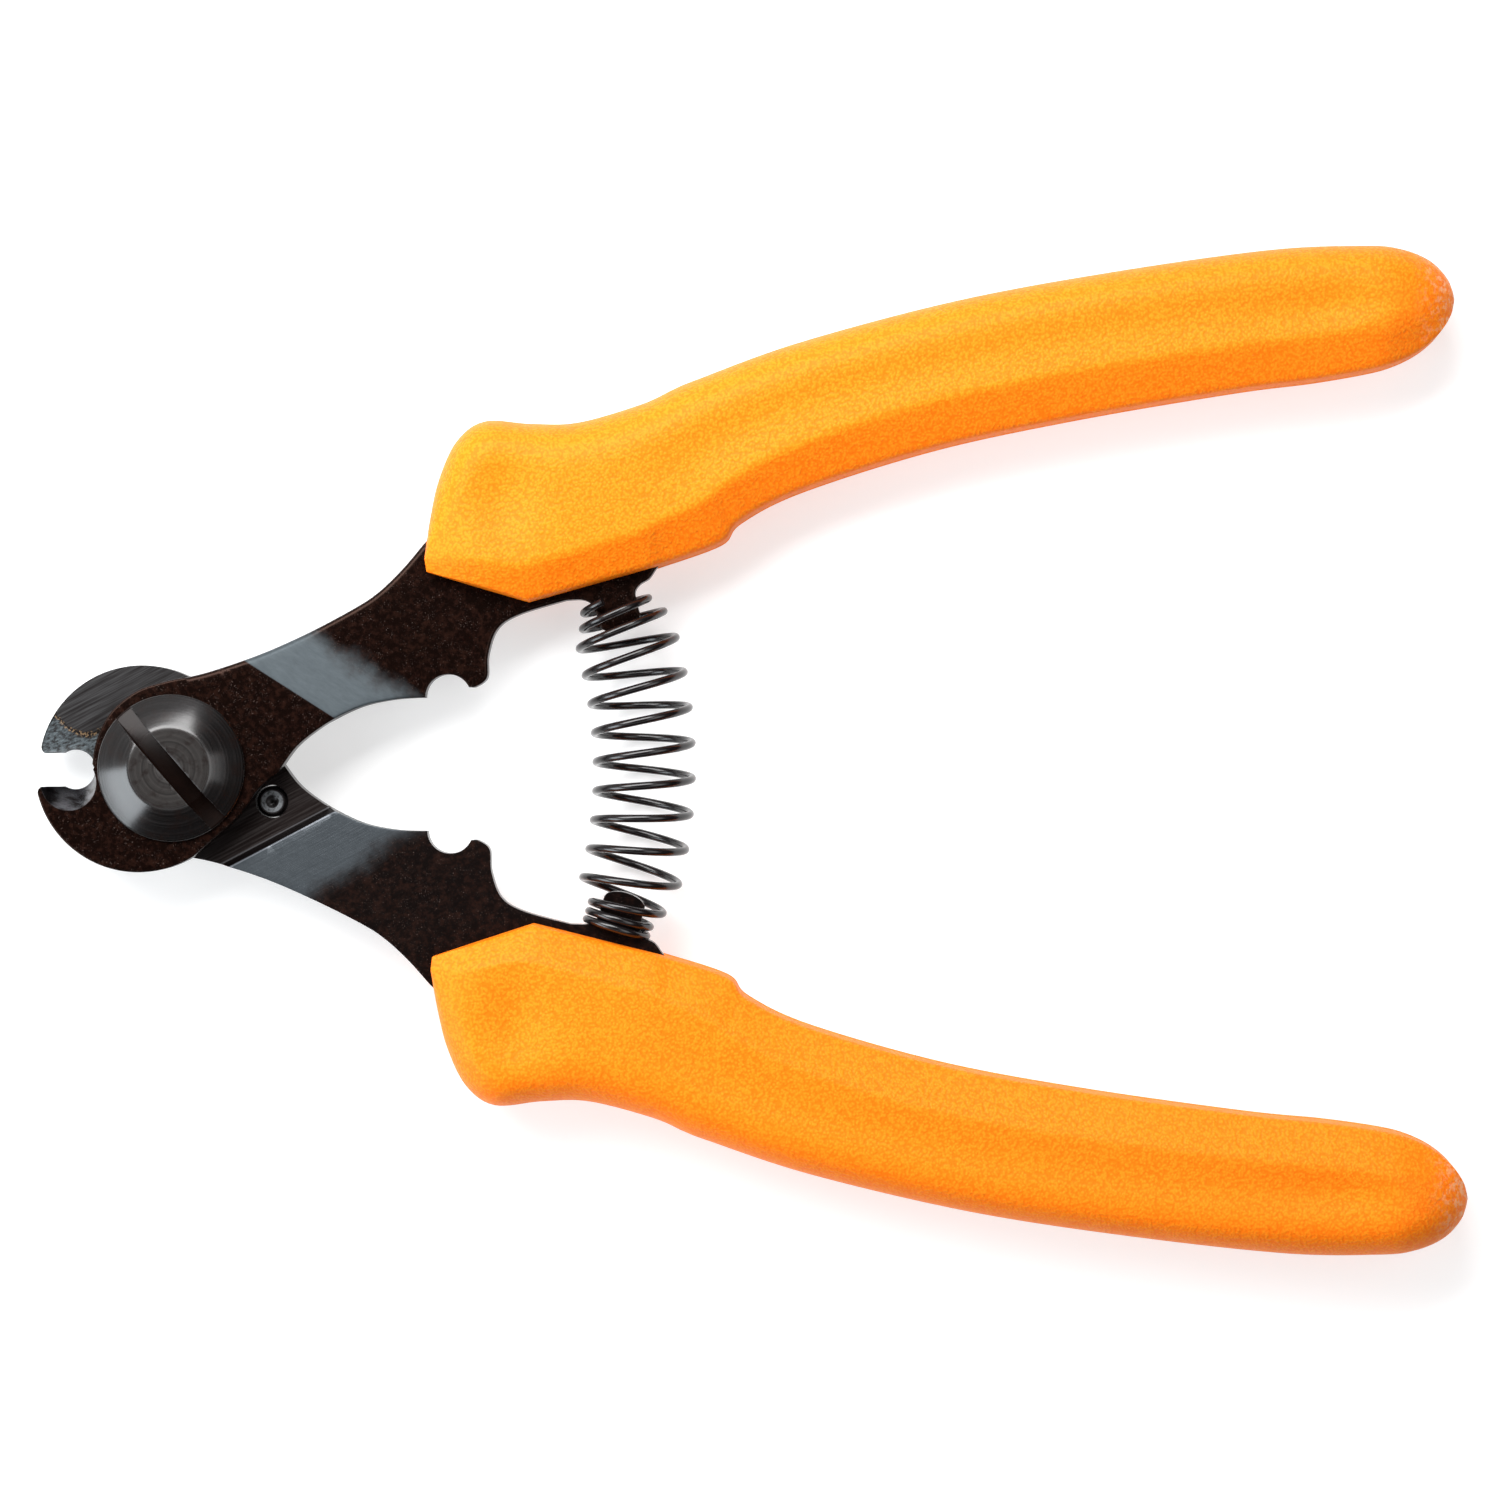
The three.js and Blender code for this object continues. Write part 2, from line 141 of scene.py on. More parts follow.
def lever_outline():
    """(points, edge radius at each point) of the front lever seen from above, counter-clockwise."""
    stretches = [
        (arc(THROAT_X, 0, THROAT_RADIUS, 0, -122, 40), 0.05),
        (spline([(-14.6, -2.14), (-16.2, -2.11), (-16.62, -2.22), (-16.86, -2.52), (-16.94, -2.9)], 24), 0.1),
        (arc(JAW_X, 0, JAW_RADIUS, -166.6, -62, 90), 0.3),
        (spline([(2.6, -11.2), (4.9, -9.2), (7.5, -7), (9.45, -4.8), (11, -2.7), (13.6, -0.5)], 40), 0.25),
        (spline([(13.6, -0.5), (15.8, 2.45), (18.8, 4.8), (21.8, 6.5), (24.8, 7.65), (28.5, 8.3),
                 (32.05, 8.45)], 60), 0.35),
        (arc(CRIMP_X, CRIMP_Y, CRIMP_RADIUS, 180, 25, 36), 0.3),
        (spline([(37.6, 9.7), (38.5, 9.75), (39.9, 10.9), (40.1, 13.8), (41.3, 17), (44.1, 18.8),
                 (50, 20.5)], 60), 0.5),
        (spline([(50, 20.5), (52, 20.55), (53.2, 20.0), (53.75, 18.9)], 12), 0.4),
        (spring_tab()[1:-1], 0.4),
        (spline([(58.85, 20.6), (58.85, 21.6), (59.5, 22.45), (60.6, 23.1), (61.4, 24.2)], 12), 0.4),
        (TANG_INNER, 0.5),
        (spline(TANG_END, 12), 0.5),
        (TANG_OUTER, 0.7),
        (spline([(32, 27.8), (29.3, 24.7), (26.3, 21.9), (23.3, 19.95), (17.3, 16.85), (11.3, 14.2),
                 (5.3, 12.2), (1.9, 11.4)], 80), 0.7),
        (spline([(1.9, 11.4), (-0.8, 10.9), (-4.4, 9.7), (-7.6, 7.1), (-9.4, 3.7), (-10.0, 0.7)], 60), 0.3),
    ]
    points = np.vstack([np.array(p, float) for p, _ in stretches])
    radii = np.concatenate([np.full(len(p), r) for p, r in stretches])
    keep = np.linalg.norm(points - np.roll(points, -1, axis=0), axis=1) > 0.02
    return points[keep], radii[keep]


# ---- plates: flat pieces given by an outline and two height functions ----

def inside(points, loop):
    """Which points lie inside a closed loop, by counting crossings."""
    x, y = points[:, :1], points[:, 1:]
    ax, ay = loop[:, 0], loop[:, 1]
    bx, by = np.roll(ax, -1), np.roll(ay, -1)
    straddles = (ay > y) != (by > y)
    rise = np.where(by == ay, 1e-12, by - ay)
    crossing = straddles & (x < (bx - ax) * (y - ay) / rise + ax)
    return crossing.sum(axis=1) % 2 == 1


def edge_distance(points, loop, values):
    """(distance to the nearest side of a loop, the value carried there)."""
    a, b = loop, np.roll(loop, -1, axis=0)
    va, vb = values, np.roll(values, -1)
    side = b - a
    length2 = np.maximum((side**2).sum(axis=1), 1e-12)
    distance, value = [], []
    for chunk in np.array_split(points, max(1, len(points) // 2000)):
        share = np.clip(((chunk[:, None] - a) * side).sum(axis=2) / length2, 0, 1)
        gap = np.linalg.norm(chunk[:, None] - (a + share[..., None] * side), axis=2)
        nearest = gap.argmin(axis=1)
        row = np.arange(len(chunk))
        distance.append(gap[row, nearest])
        s = share[row, nearest]
        value.append(va[nearest] * (1 - s) + vb[nearest] * s)
    return np.concatenate(distance), np.concatenate(value)


def inward_normals(loop):
    """Unit normals of a counter-clockwise loop, pointing inside it."""
    tangent = np.roll(loop, -1, axis=0) - np.roll(loop, 1, axis=0)
    inward = np.column_stack([-tangent[:, 1], tangent[:, 0]])
    return inward / np.linalg.norm(inward, axis=1)[:, None]


def offset_rings(loop, radii, shares):
    """Points inside the loop at shares of each point's edge radius, without those that crossed over."""
    inward = inward_normals(loop)
    rings = []
    for share in shares:
        ring = loop + inward * (radii * share)[:, None]
        distance, _ = edge_distance(ring, loop, radii)
        rings.append(ring[(distance > radii * share * 0.96) & inside(ring, loop)])
    return np.vstack(rings)


EDGE_DEPTH_SHARE = 0.8


def edge_drop(distance, radius):
    """How far a rounded edge has fallen at a distance from the outline."""
    reach = np.clip((radius - distance) / np.maximum(radius, 1e-9), 0, 1)
    return radius * EDGE_DEPTH_SHARE * (1 - np.sqrt(1 - reach**2))


RING_SHARES = (0.02, 0.08, 0.18, 0.33, 0.53, 0.77, 1.0)


def plate(name, loop, radii, holes, lines, full_lines, top, bottom, loose):
    """Closed mesh between two height functions of (points, distance to the edge, edge radius).

    The faces follow lines up to the edge rounding and full_lines up to the edge itself;
    loose points only refine the mesh."""
    corners, sides = [], []

    def add(points, is_closed):
        first = sum(len(c) for c in corners)
        corners.append(np.asarray(points, float))
        count = len(points)
        sides.extend((first + k, first + k + 1) for k in range(count - 1))
        if is_closed:
            sides.append((first + count - 1, first))

    add(loop, True)
    for hole in holes:
        add(hole, True)
    for line, margin in [(line, 1.05) for line in lines] + [(line, 0.0) for line in full_lines]:
        distance, radius = edge_distance(line, loop, radii)
        kept = inside(line, loop) & (distance > margin * radius + 0.02)
        for run in np.split(np.arange(len(line)), np.flatnonzero(np.diff(kept)) + 1):
            if kept[run[0]] and len(run) > 1:
                add(line[run], False)
    corners += [offset_rings(loop, radii, RING_SHARES), loose]
    flat = [Vector(p) for p in np.vstack(corners)]
    found = geometry.delaunay_2d_cdt(flat, sides, [], 0, 1e-5)
    points = np.array([tuple(v) for v in found[0]])
    triangles = np.array([tuple(f) for f in found[2]])
    middles = points[triangles].mean(axis=1)
    wanted = inside(middles, loop)
    for hole in holes:
        wanted &= ~inside(middles, np.asarray(hole))
    triangles = triangles[wanted]
    used = np.unique(triangles)
    renumber = np.full(len(points), -1)
    renumber[used] = np.arange(len(used))
    points, triangles = points[used], renumber[triangles]
    a, b, c = (points[triangles[:, k]] for k in range(3))
    turn = (b - a)[:, 0] * (c - a)[:, 1] - (b - a)[:, 1] * (c - a)[:, 0]
    triangles[turn < 0] = triangles[turn < 0][:, ::-1]
    distance, radius = edge_distance(points, loop, radii)
    upper = np.column_stack([points, top(points, distance, radius)])
    lower = np.column_stack([points, bottom(points, distance, radius)])
    count = len(points)
    directed = {(int(t[k]), int(t[(k + 1) % 3])) for t in triangles for k in range(3)}
    rim = [(i, j) for i, j in directed if (j, i) not in directed]
    faces = [tuple(int(i) for i in t) for t in triangles]
    faces += [tuple(int(i) + count for i in t[::-1]) for t in triangles]
    faces += [(j, i, i + count, j + count) for i, j in rim]
    obj = mesh_object(name, np.vstack([upper, lower]), faces)
    second = np.zeros(len(faces), np.int32)
    second[len(triangles):2 * len(triangles)] = 1
    obj.data.materials.append(None)
    obj.data.materials.append(None)
    obj.data.polygons.foreach_set("material_index", second)
    return obj


def linked(name, data):
    """A new object in the scene."""
    obj = bpy.data.objects.new(name, data)
    bpy.context.scene.collection.objects.link(obj)
    return obj


def mesh_object(name, points, faces, sharp=32):
    """A mesh object from points in millimetres about the mid-plane."""
    mesh = bpy.data.meshes.new(name)
    metres = (np.asarray(points, float) + (0, 0, MID_Z)) * MM
    mesh.from_pydata([tuple(p) for p in metres], [], [tuple(f) for f in faces])
    mesh.validate()
    finish_mesh(mesh, sharp)
    return linked(name, mesh)


def ring_faces(rings, count):
    """Faces that join rings of count points each, one after the other, and close both ends."""
    faces = []
    for r in range(rings - 1):
        for k in range(count):
            after = (k + 1) % count
            faces.append((r * count + k, r * count + after, (r + 1) * count + after, (r + 1) * count + k))
    last = (rings - 1) * count
    faces.append(tuple(range(count))[::-1])
    faces.append(tuple(range(last, last + count)))
    return faces


def finish_mesh(mesh, sharp):
    """Outward normals, smooth faces and sharp edges past an angle in degrees."""
    faces = bmesh.new()
    faces.from_mesh(mesh)
    bmesh.ops.recalc_face_normals(faces, faces=faces.faces)
    faces.to_mesh(mesh)
    faces.free()
    mesh.polygons.foreach_set("use_smooth", [True] * len(mesh.polygons))
    mesh.set_sharp_from_angle(angle=math.radians(sharp))
    mesh.update()


def mark_drawing(obj):
    """Keeps each vertex's place in millimetres about the mid-plane, for the materials."""
    mesh = obj.data
    places = np.empty(len(mesh.vertices) * 3, np.float32)
    mesh.vertices.foreach_get("co", places)
    places = places.reshape(-1, 3) / MM - (0, 0, MID_Z)
    drawing = mesh.attributes.new("drawing", "FLOAT_VECTOR", "POINT")
    drawing.data.foreach_set("vector", places.astype(np.float32).ravel())


def turn_over(obj):
    """Half a turn about the X line through the mid-plane, as the back lever and grip lie."""
    turn = Matrix.Translation((0, 0, MID_Z * MM)) @ Matrix.Rotation(math.pi, 4, "X")
    obj.data.transform(turn @ Matrix.Translation((0, 0, -MID_Z * MM)))


# ---- levers ----

def along(points, degrees):
    """Distance of points from the pivot along a direction."""
    angle = math.radians(degrees)
    return points[:, 0] * math.cos(angle) + points[:, 1] * math.sin(angle)


def level_line(degrees, distance):
    """A straight line of points at a distance from the pivot, square to a direction."""
    reach, spacing = 60, 0.8
    spread = np.arange(-reach, reach, spacing)
    return turned_points(np.column_stack([np.full(len(spread), distance), spread]), degrees)


def softened(x, corner, radius):
    """max(0, x - corner) with the corner rounded over radius."""
    x = x - corner
    near = np.clip(x + radius, 0, 2 * radius)
    return np.where(x > radius, x, near**2 / (4 * radius))


RAMP_SLOPE = (PLATE / 2) / (RAMP_END - RAMP_START)
RAMP_FOOT = 1.2
RAMP_BREAK, LAP_RAMP_BREAK = 0.12, 0.3
LAP_SLOPE = (PLATE / 2 - LAP_STEP) / (RAMP_END - LAP_RAMP_START)


def bevel_height(points):
    """Height of the skewed cone that sharpens the mouth, above its land."""
    rise = PLATE - BEVEL_LAND
    skew = np.array([BEVEL_X - THROAT_X, BEVEL_Y]) / rise
    widen = (BEVEL_RADIUS - THROAT_RADIUS) / rise
    from_throat = points - (THROAT_X, 0)
    a = skew @ skew - widen**2
    b = -2 * (from_throat @ skew) - 2 * THROAT_RADIUS * widen
    c = (from_throat**2).sum(axis=1) - THROAT_RADIUS**2
    root = np.sqrt(np.maximum(b * b - 4 * a * c, 0))
    return np.maximum((-b - root) / (2 * a), 0)


def outer_face(points, distance, radius):
    """The face with the rounded edges: the head high, a ramp, and the tang centred."""
    d = along(points, RAMP_ANGLE)
    fall = RAMP_SLOPE * (softened(d, RAMP_START, RAMP_BREAK) - softened(d, RAMP_END, RAMP_FOOT))
    height = PLATE - fall - edge_drop(distance, radius)
    near_mouth = np.linalg.norm(points - (BEVEL_X, BEVEL_Y), axis=1) < BEVEL_RADIUS + 0.01
    bevel = BEVEL_LAND + bevel_height(points)
    return np.where(near_mouth, np.minimum(height, bevel), height)


RELIEF_DEPTH, RELIEF_WALL, RELIEF_LIP = 0.16, 0.35, 0.15
RELIEF_MIDDLE_X, RELIEF_REACH, RELIEF_BEND = -11.2, 4.4, 0.167
RELIEF_STOP_X, RELIEF_STOP_Y = -6.5, 3
LAP_EDGE_SHARE = 0.1


def relief_edge(x):
    """Edge of the hollow ground beside the mouth on the lap face."""
    return -(RELIEF_REACH + RELIEF_BEND * (x - RELIEF_MIDDLE_X) ** 2)


def lap_face(points, distance, radius):
    """The face that slides on the other lever: flat, then a milled step, then the ramp."""
    d = along(points, RAMP_ANGLE)
    ramp = LAP_STEP + LAP_SLOPE * (
        softened(d, LAP_RAMP_START, LAP_RAMP_BREAK) - softened(d, RAMP_END, RAMP_FOOT))
    wall = (along(points, STEP_ANGLE) - STEP_AT) * LAP_STEP / STEP_WALL
    depth = np.minimum(ramp, np.maximum(wall, 0))
    x, y = points[:, 0], points[:, 1]
    beside_mouth = (x < RELIEF_STOP_X) * (y < RELIEF_STOP_Y)
    ground = np.clip((y - relief_edge(x)) / RELIEF_WALL, 0, 1) * beside_mouth
    lip = np.clip(distance / RELIEF_LIP, 0, 1)
    rounding = LAP_EDGE_SHARE * edge_drop(distance, radius)
    return LAP_GAP / 2 - depth + RELIEF_DEPTH * ground * lip + rounding


def lever(name, with_screw_hole):
    """One steel lever with its pivot bore, lying as the front one lies.

    The screw hole is the back lever's, which is turned over later, so its Y is mirrored here."""
    loop, radii = lever_outline()
    holes = [arc(0, 0, BORE_RADIUS, 0, 356, 89)]
    if with_screw_hole:
        holes.append(arc(SCREW_X, -SCREW_Y, SCREW_HOLE, 0, 352.5, 47))
    ramp_bend = np.linspace(RAMP_END - RAMP_FOOT, RAMP_END + RAMP_FOOT, 7)
    ramp_lines = [level_line(RAMP_ANGLE, d) for d in
                  (LAP_RAMP_START, RAMP_START - 0.1, RAMP_START + 0.1, 17.5, 20, 22,
                   *ramp_bend, 27, 30, 34)]
    foot = STEP_AT + STEP_WALL
    step_lines = [level_line(STEP_ANGLE, d) for d in (STEP_AT, foot)]
    rim = arc(BEVEL_X, BEVEL_Y, BEVEL_RADIUS, -165, 40, 60)
    cone_rings = [
        np.column_stack([THROAT_X + (BEVEL_X - THROAT_X) * s, BEVEL_Y * s])
        + arc(0, 0, 1, -170, 45, 50) * (THROAT_RADIUS + (BEVEL_RADIUS - THROAT_RADIUS) * s)
        for s in (0.25, 0.5, 0.75)]
    relief_x = np.linspace(-16, -7, 40)
    relief_lines = [np.column_stack([relief_x, relief_edge(relief_x) + k])
                    for k in (0, RELIEF_WALL / 2, RELIEF_WALL)]
    loose = np.vstack([np.vstack(cone_rings), *relief_lines, head_grid()])
    loose = loose[inside(loose, loop)]
    distance, radius = edge_distance(loose, loop, radii)
    loose = loose[distance > 1.15 * radius + 0.12]
    return plate(name, loop, radii, holes, ramp_lines, [*step_lines, rim], outer_face, lap_face, loose)


def head_grid():
    """Evenly spread points over the head and shank, so that shading stays even, and a closer
    grid where the mouth's bevel runs out."""
    spacing, close_spacing = 1.1, 0.06
    x, y = np.meshgrid(np.arange(-17, 62, spacing), np.arange(-13, 30, spacing))
    wide = np.column_stack([x.ravel() + 0.3 * np.sin(7 * y.ravel()), y.ravel()])
    x, y = np.meshgrid(np.arange(-10.7, -9.3, close_spacing), np.arange(-0.9, 0.7, close_spacing))
    return np.vstack([wide, np.column_stack([x.ravel(), y.ravel()])])


# ---- grips ----

# Outer and inner edge of the grip in matching stretches, from its jaw end to its round tip:
# steps, outer points, inner points, whether the inner edge flows into the next stretch.
GRIP_STRETCHES = [
    (24, [(32.3, 26.6), (32.9, 31), (34.1, 36), (36.4, 40.8), (40, 43.3)],
     [(32.6, 24.2), (45.4, 20.2)], False),
    (26, [(40, 43.3), (46, 42.9), (52, 43), (60, 45.2)], [(45.4, 20.2), (62, 24.6)], False),
    (16, [(60, 45.2), (64, 47), (67, 48.2)], [(62, 24.6), (69.8, 27.3), (72.3, 30)], True),
    (110, [(67, 48.2), (80, 52.7), (100, 57.7), (120, 61.1), (140, 63.6), (152, 63.95)],
     [(72.3, 30), (80, 33.8), (97, 38.9), (115, 42.5), (135, 45.6), (145, 46.75), (152, 47.85)], True),
    (40, [(152, 63.95), (156.5, 63.5), (160, 62.1), (162.2, 60), (163, 58.3), (163.2, 57.3)],
     [(152, 47.85), (155.4, 48.75), (158.4, 50.2), (160.8, 52.2), (162.5, 54.7), (163.15, 56.8)], False),
]


def grip_edges():
    """(outer, inner) edge of the front grip as matching points."""
    outer, inner = [], []
    for k, (steps, outer_points, inner_points, flows) in enumerate(GRIP_STRETCHES):
        skip = 1 if k else 0
        earlier = GRIP_STRETCHES[k - 1] if k else None
        later = GRIP_STRETCHES[k + 1] if k + 1 < len(GRIP_STRETCHES) else None
        outer_curve = spline(outer_points, steps, earlier and earlier[1][-2], later and later[1][1])
        flows_in = earlier and earlier[3]
        flows_on = later and flows
        inner_curve = spline(inner_points, steps, earlier[2][-2] if flows_in else None,
                             later[2][1] if flows_on else None)
        outer.extend(outer_curve[skip:])
        inner.extend(inner_curve[skip:])
    return np.array(outer), np.array(inner)


CHAMFER_X = [32, 45, 62, 66, 69.8, 71, 72.3, 75, 90, 125, 150]
CHAMFER_WIDTH = [3.0, 4.4, 4.7, 5.5, 6.15, 5.6, 5.0, 5.2, 5.7, 5.8, 5.4]
SLOPE_X = [32, 42, 50, 62, 90, 163]
CHAMFER_SLOPE = [0.46, 0.62, 0.66, 0.66, 0.62, 0.56]
FLARE_X, FLARE_LENGTH, FLARE_LOW, FLARE_RISE = 32.3, 9.0, 0.66, 0.34
FLASH = 0.12
POCKET_GAP = 0.08
ROUNDNESS = 2.3
VALLEY_DEPTH, TIP_SCOOP_DEPTH, THUMB_SCOOP_DEPTH = 0.62, 0.42, 1.25
TIP_START, TIP_LENGTH = 152, 11.3


def hollow(x, centre, width):
    """Bell curve of height 1 about a centre."""
    return np.exp(-((x - centre) / width) ** 2)


def fade(x, start, stop):
    """Smooth rise from 0 at start to 1 at stop."""
    t = np.clip((x - start) / (stop - start), 0, 1)
    return t * t * (3 - 2 * t)


def grip_height(x, y, from_outer, width, rounding, chamfer):
    """Height of the upper half of the front grip over the mid-plane."""
    flare = np.clip((x - FLARE_X) / FLARE_LENGTH, 0, 1)
    full = GRIP_HALF * (FLARE_LOW + FLARE_RISE * np.sin(flare * math.pi / 2))
    reach = np.clip((rounding - from_outer) / rounding, 0, 1)
    height = full * (1 - reach**ROUNDNESS) ** (1 / ROUNDNESS)
    slope = np.interp(x, SLOPE_X, CHAMFER_SLOPE)
    height = height - slope * softened(chamfer - (width - from_outer), 0, 0.6 + 1.5 * fade(x, 148, 160))
    across = from_outer / width
    valley = VALLEY_DEPTH * fade(x, 56, 70) * (1 - fade(x, 146, 157)) * hollow(across, 0.44, 0.2)
    tip_scoop = TIP_SCOOP_DEPTH * hollow(x, 145, 8) * hollow(across, 0.5, 0.13)
    thumb_scoop = THUMB_SCOOP_DEPTH * hollow(x, 42.2, 4.6) * hollow(y, 33.5, 6)
    return height - valley - tip_scoop - thumb_scoop


def ridge_distances(outer, inner):
    """Distance of the ridge from the inner edge in each section, so that the ridge runs smoothly."""
    width = np.linalg.norm(outer - inner, axis=1)
    across = (outer - inner) / width[:, None]
    chamfer = np.minimum(np.interp(inner[:, 0], CHAMFER_X, CHAMFER_WIDTH), 0.42 * width)
    ridge = inner + across * chamfer[:, None]
    even = np.column_stack([evened(c) for c in ridge.T])
    return np.minimum(((even - inner) * across).sum(axis=1), 0.45 * width)


def section(outer, inner, chamfer):
    """Closed ring of points around the front grip between matching edge points."""
    width = np.linalg.norm(inner - outer)
    rounding = min(6.0, 0.4 * width)
    soft = min(0.6, 0.08 * width)
    ridge = width - chamfer
    turn = np.radians([0, 1, 3, 6, 10, 15, 21, 28, 36, 45, 54, 63, 72, 81])
    from_outer = np.concatenate([
        rounding * (1 - np.cos(turn) ** (2 / ROUNDNESS)),
        np.linspace(rounding, ridge - 1.5 * soft, 24),
        ridge + soft * np.linspace(-1, 1, 5),
        np.linspace(ridge + 2 * soft, width, 8)])
    flat = outer + (inner - outer) * (from_outer / width)[:, None]
    height = grip_height(flat[:, 0], flat[:, 1], from_outer, width, rounding, chamfer)
    tip = np.clip((flat[:, 0] - TIP_START) / TIP_LENGTH, 0, 1)
    height = height * np.sqrt(1 - tip**2)
    height[0] = 0
    outward = (inner - outer) / width
    flash = FLASH * fade(width, 4, 8)
    flat[0] -= outward * flash
    edge = height[-1]
    level = np.array([0.85, 0.6, 0.35, 0.12, 0.06]) * edge
    sunk = 0.3 * (level / max(edge, 1e-6)) ** 2
    wall = np.column_stack([inner - outward * sunk[:, None], level])
    seam = [(*(inner + outward * flash), 0)]
    flat[-1] -= outward * 0.3
    upper = np.column_stack([flat, height])
    half = np.vstack([upper, wall])
    mirrored = half[:0:-1] * (1, 1, -1)
    return np.vstack([half, seam, mirrored])


def grip(name):
    """One moulded grip with its tang pocket, lying as the front one lies."""
    outer, inner = grip_edges()
    rings = [section(*ends) for ends in zip(outer, inner, ridge_distances(outer, inner))]
    moulding = mesh_object(name, np.vstack(rings), ring_faces(len(rings), len(rings[0])), sharp=50)
    return cut(moulding, tang_pocket(), sharp=50)


def tang_pocket():
    """The hollow that the steel tang sits in, a hair wider than the steel."""
    mouth = [(31, 26), (36, 20), (44, 17), (50, 19), (58, 20.5), (61, 23)]
    outline = np.array(TANG_INNER + TANG_END + TANG_OUTER + mouth, float)
    half = PLATE / 2 + POCKET_GAP
    return prism("tang_pocket", outline - inward_normals(outline) * POCKET_GAP, -half, half)


# ---- turned and cut pieces ----

def lathe(name, profile, sides):
    """Closed solid turned about Z from (radius, height) pairs.

    A profile starts and ends on the axis, or else it closes on itself and makes a ring."""
    turns = np.linspace(0, 2 * math.pi, sides, endpoint=False)
    ring = np.column_stack([np.cos(turns), np.sin(turns)])
    points, loops = [], []
    for radius, height in profile:
        if radius < 1e-9:
            loops.append([len(points)] * sides)
            points.append((0, 0, height))
        else:
            loops.append(list(range(len(points), len(points) + sides)))
            points += [(radius * x, radius * y, height) for x, y in ring]
    if loops[0][0] != loops[0][1]:
        loops.append(loops[0])
    faces = []
    for low, high in zip(loops, loops[1:]):
        for k in range(sides):
            after = (k + 1) % sides
            corners = [low[k], low[after], high[after], high[k]]
            faces.append(tuple(dict.fromkeys(corners)))
    return mesh_object(name, points, faces)


def cut(obj, tool, operation="DIFFERENCE", sharp=32):
    """Boolean with a second object, which is used up."""
    modifier = obj.modifiers.new("cut", "BOOLEAN")
    modifier.operation = operation
    modifier.solver = "EXACT"
    modifier.object = tool
    settle(obj)
    bpy.data.objects.remove(tool, do_unlink=True)
    finish_mesh(obj.data, sharp)
    return obj


def settle(obj):
    """Turns an object's modifiers into plain mesh."""
    bpy.context.view_layer.update()
    graph = bpy.context.evaluated_depsgraph_get()
    mesh = bpy.data.meshes.new_from_object(obj.evaluated_get(graph))
    obj.modifiers.clear()
    obj.data = mesh


def chamfered(obj, width, angle=35, segments=2):
    """Narrow bevels along the edges sharper than an angle in degrees."""
    modifier = obj.modifiers.new("edges", "BEVEL")
    modifier.width = width * MM
    modifier.segments = segments
    modifier.limit_method = "ANGLE"
    modifier.angle_limit = math.radians(angle)
    modifier.use_clamp_overlap = False
    settle(obj)
    finish_mesh(obj.data, 50)
    return obj


def prism(name, outline, low, high):
    """Straight-sided solid on a counter-clockwise outline."""
    outline = np.asarray(outline, float)
    count = len(outline)
    lower = np.column_stack([outline, np.full(count, low)])
    upper = np.column_stack([outline, np.full(count, high)])
    faces = [tuple(range(count))[::-1], tuple(range(count, 2 * count))]
    faces += [(k, (k + 1) % count, (k + 1) % count + count, k + count) for k in range(count)]
    return mesh_object(name, np.vstack([lower, upper]), faces)


BOLT_SEAT = PLATE + LAP_GAP
HEAD_RADIUS, HEAD_TOP_RADIUS, HEAD_HEIGHT = 9.3, 5.1, 3.0
SLOT_WIDTH, SLOT_DEPTH, SLOT_ANGLE = 2.3, 2.45, -50
SHANK_RADIUS = 4.0


def head_profile():
    """Cone of the bolt head from its rim to its flat top, a little convex, with soft corners."""
    rim = BOLT_SEAT + 0.35
    top = BOLT_SEAT + HEAD_HEIGHT
    corner = 0.35
    points = [(HEAD_RADIUS - 0.1, BOLT_SEAT), (HEAD_RADIUS, BOLT_SEAT + 0.1), (HEAD_RADIUS, rim)]
    for share in np.linspace(0.04, 0.94, 14):
        radius = HEAD_RADIUS + (HEAD_TOP_RADIUS - HEAD_RADIUS) * share
        crown = 0.12 * math.sin(math.pi * share)
        points.append((radius, rim + (top - rim) * share + crown))
    points += [(HEAD_TOP_RADIUS, top - 0.03), (HEAD_TOP_RADIUS - corner, top)]
    points += [(radius, top) for radius in (4.0, 3.0, 2.0, 1.0)] + [(0, top)]
    return points


def pivot_bolt():
    """Slotted bolt: chamfered end, a few thread turns, plain shank and cone head."""
    end = -MID_Z
    thread = [(0, end), (SHANK_RADIUS - 0.9, end), (SHANK_RADIUS - 0.45, end + 0.35)]
    pitch = 0.75
    for k in range(3):
        start = end + 0.4 + k * pitch
        thread += [(SHANK_RADIUS - 0.4, start), (SHANK_RADIUS, start + pitch * 0.4),
                   (SHANK_RADIUS, start + pitch * 0.55)]
    shank = [(SHANK_RADIUS - 0.05, end + 3.0), (SHANK_RADIUS, BOLT_SEAT - 0.2), (SHANK_RADIUS, BOLT_SEAT)]
    bolt = lathe("pivot_bolt_turned", thread + shank + head_profile(), 160)
    reach = 2 * HEAD_RADIUS
    half = SLOT_WIDTH / 2
    box = turned_points([(-reach, -half), (reach, -half), (reach, half), (-reach, half)], SLOT_ANGLE)
    top = BOLT_SEAT + HEAD_HEIGHT
    cut(bolt, prism("slot_cutter", box, top - SLOT_DEPTH, top + 2))
    return chamfered(bolt, 0.06, 50, 1)


NUT_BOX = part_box("pivot_nut")
WASHER_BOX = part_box("spring_washer")


def node_heights(box):
    """Lowest and highest point of a node's box, about the mid-plane."""
    return box[0][2] / MM - MID_Z, box[1][2] / MM - MID_Z


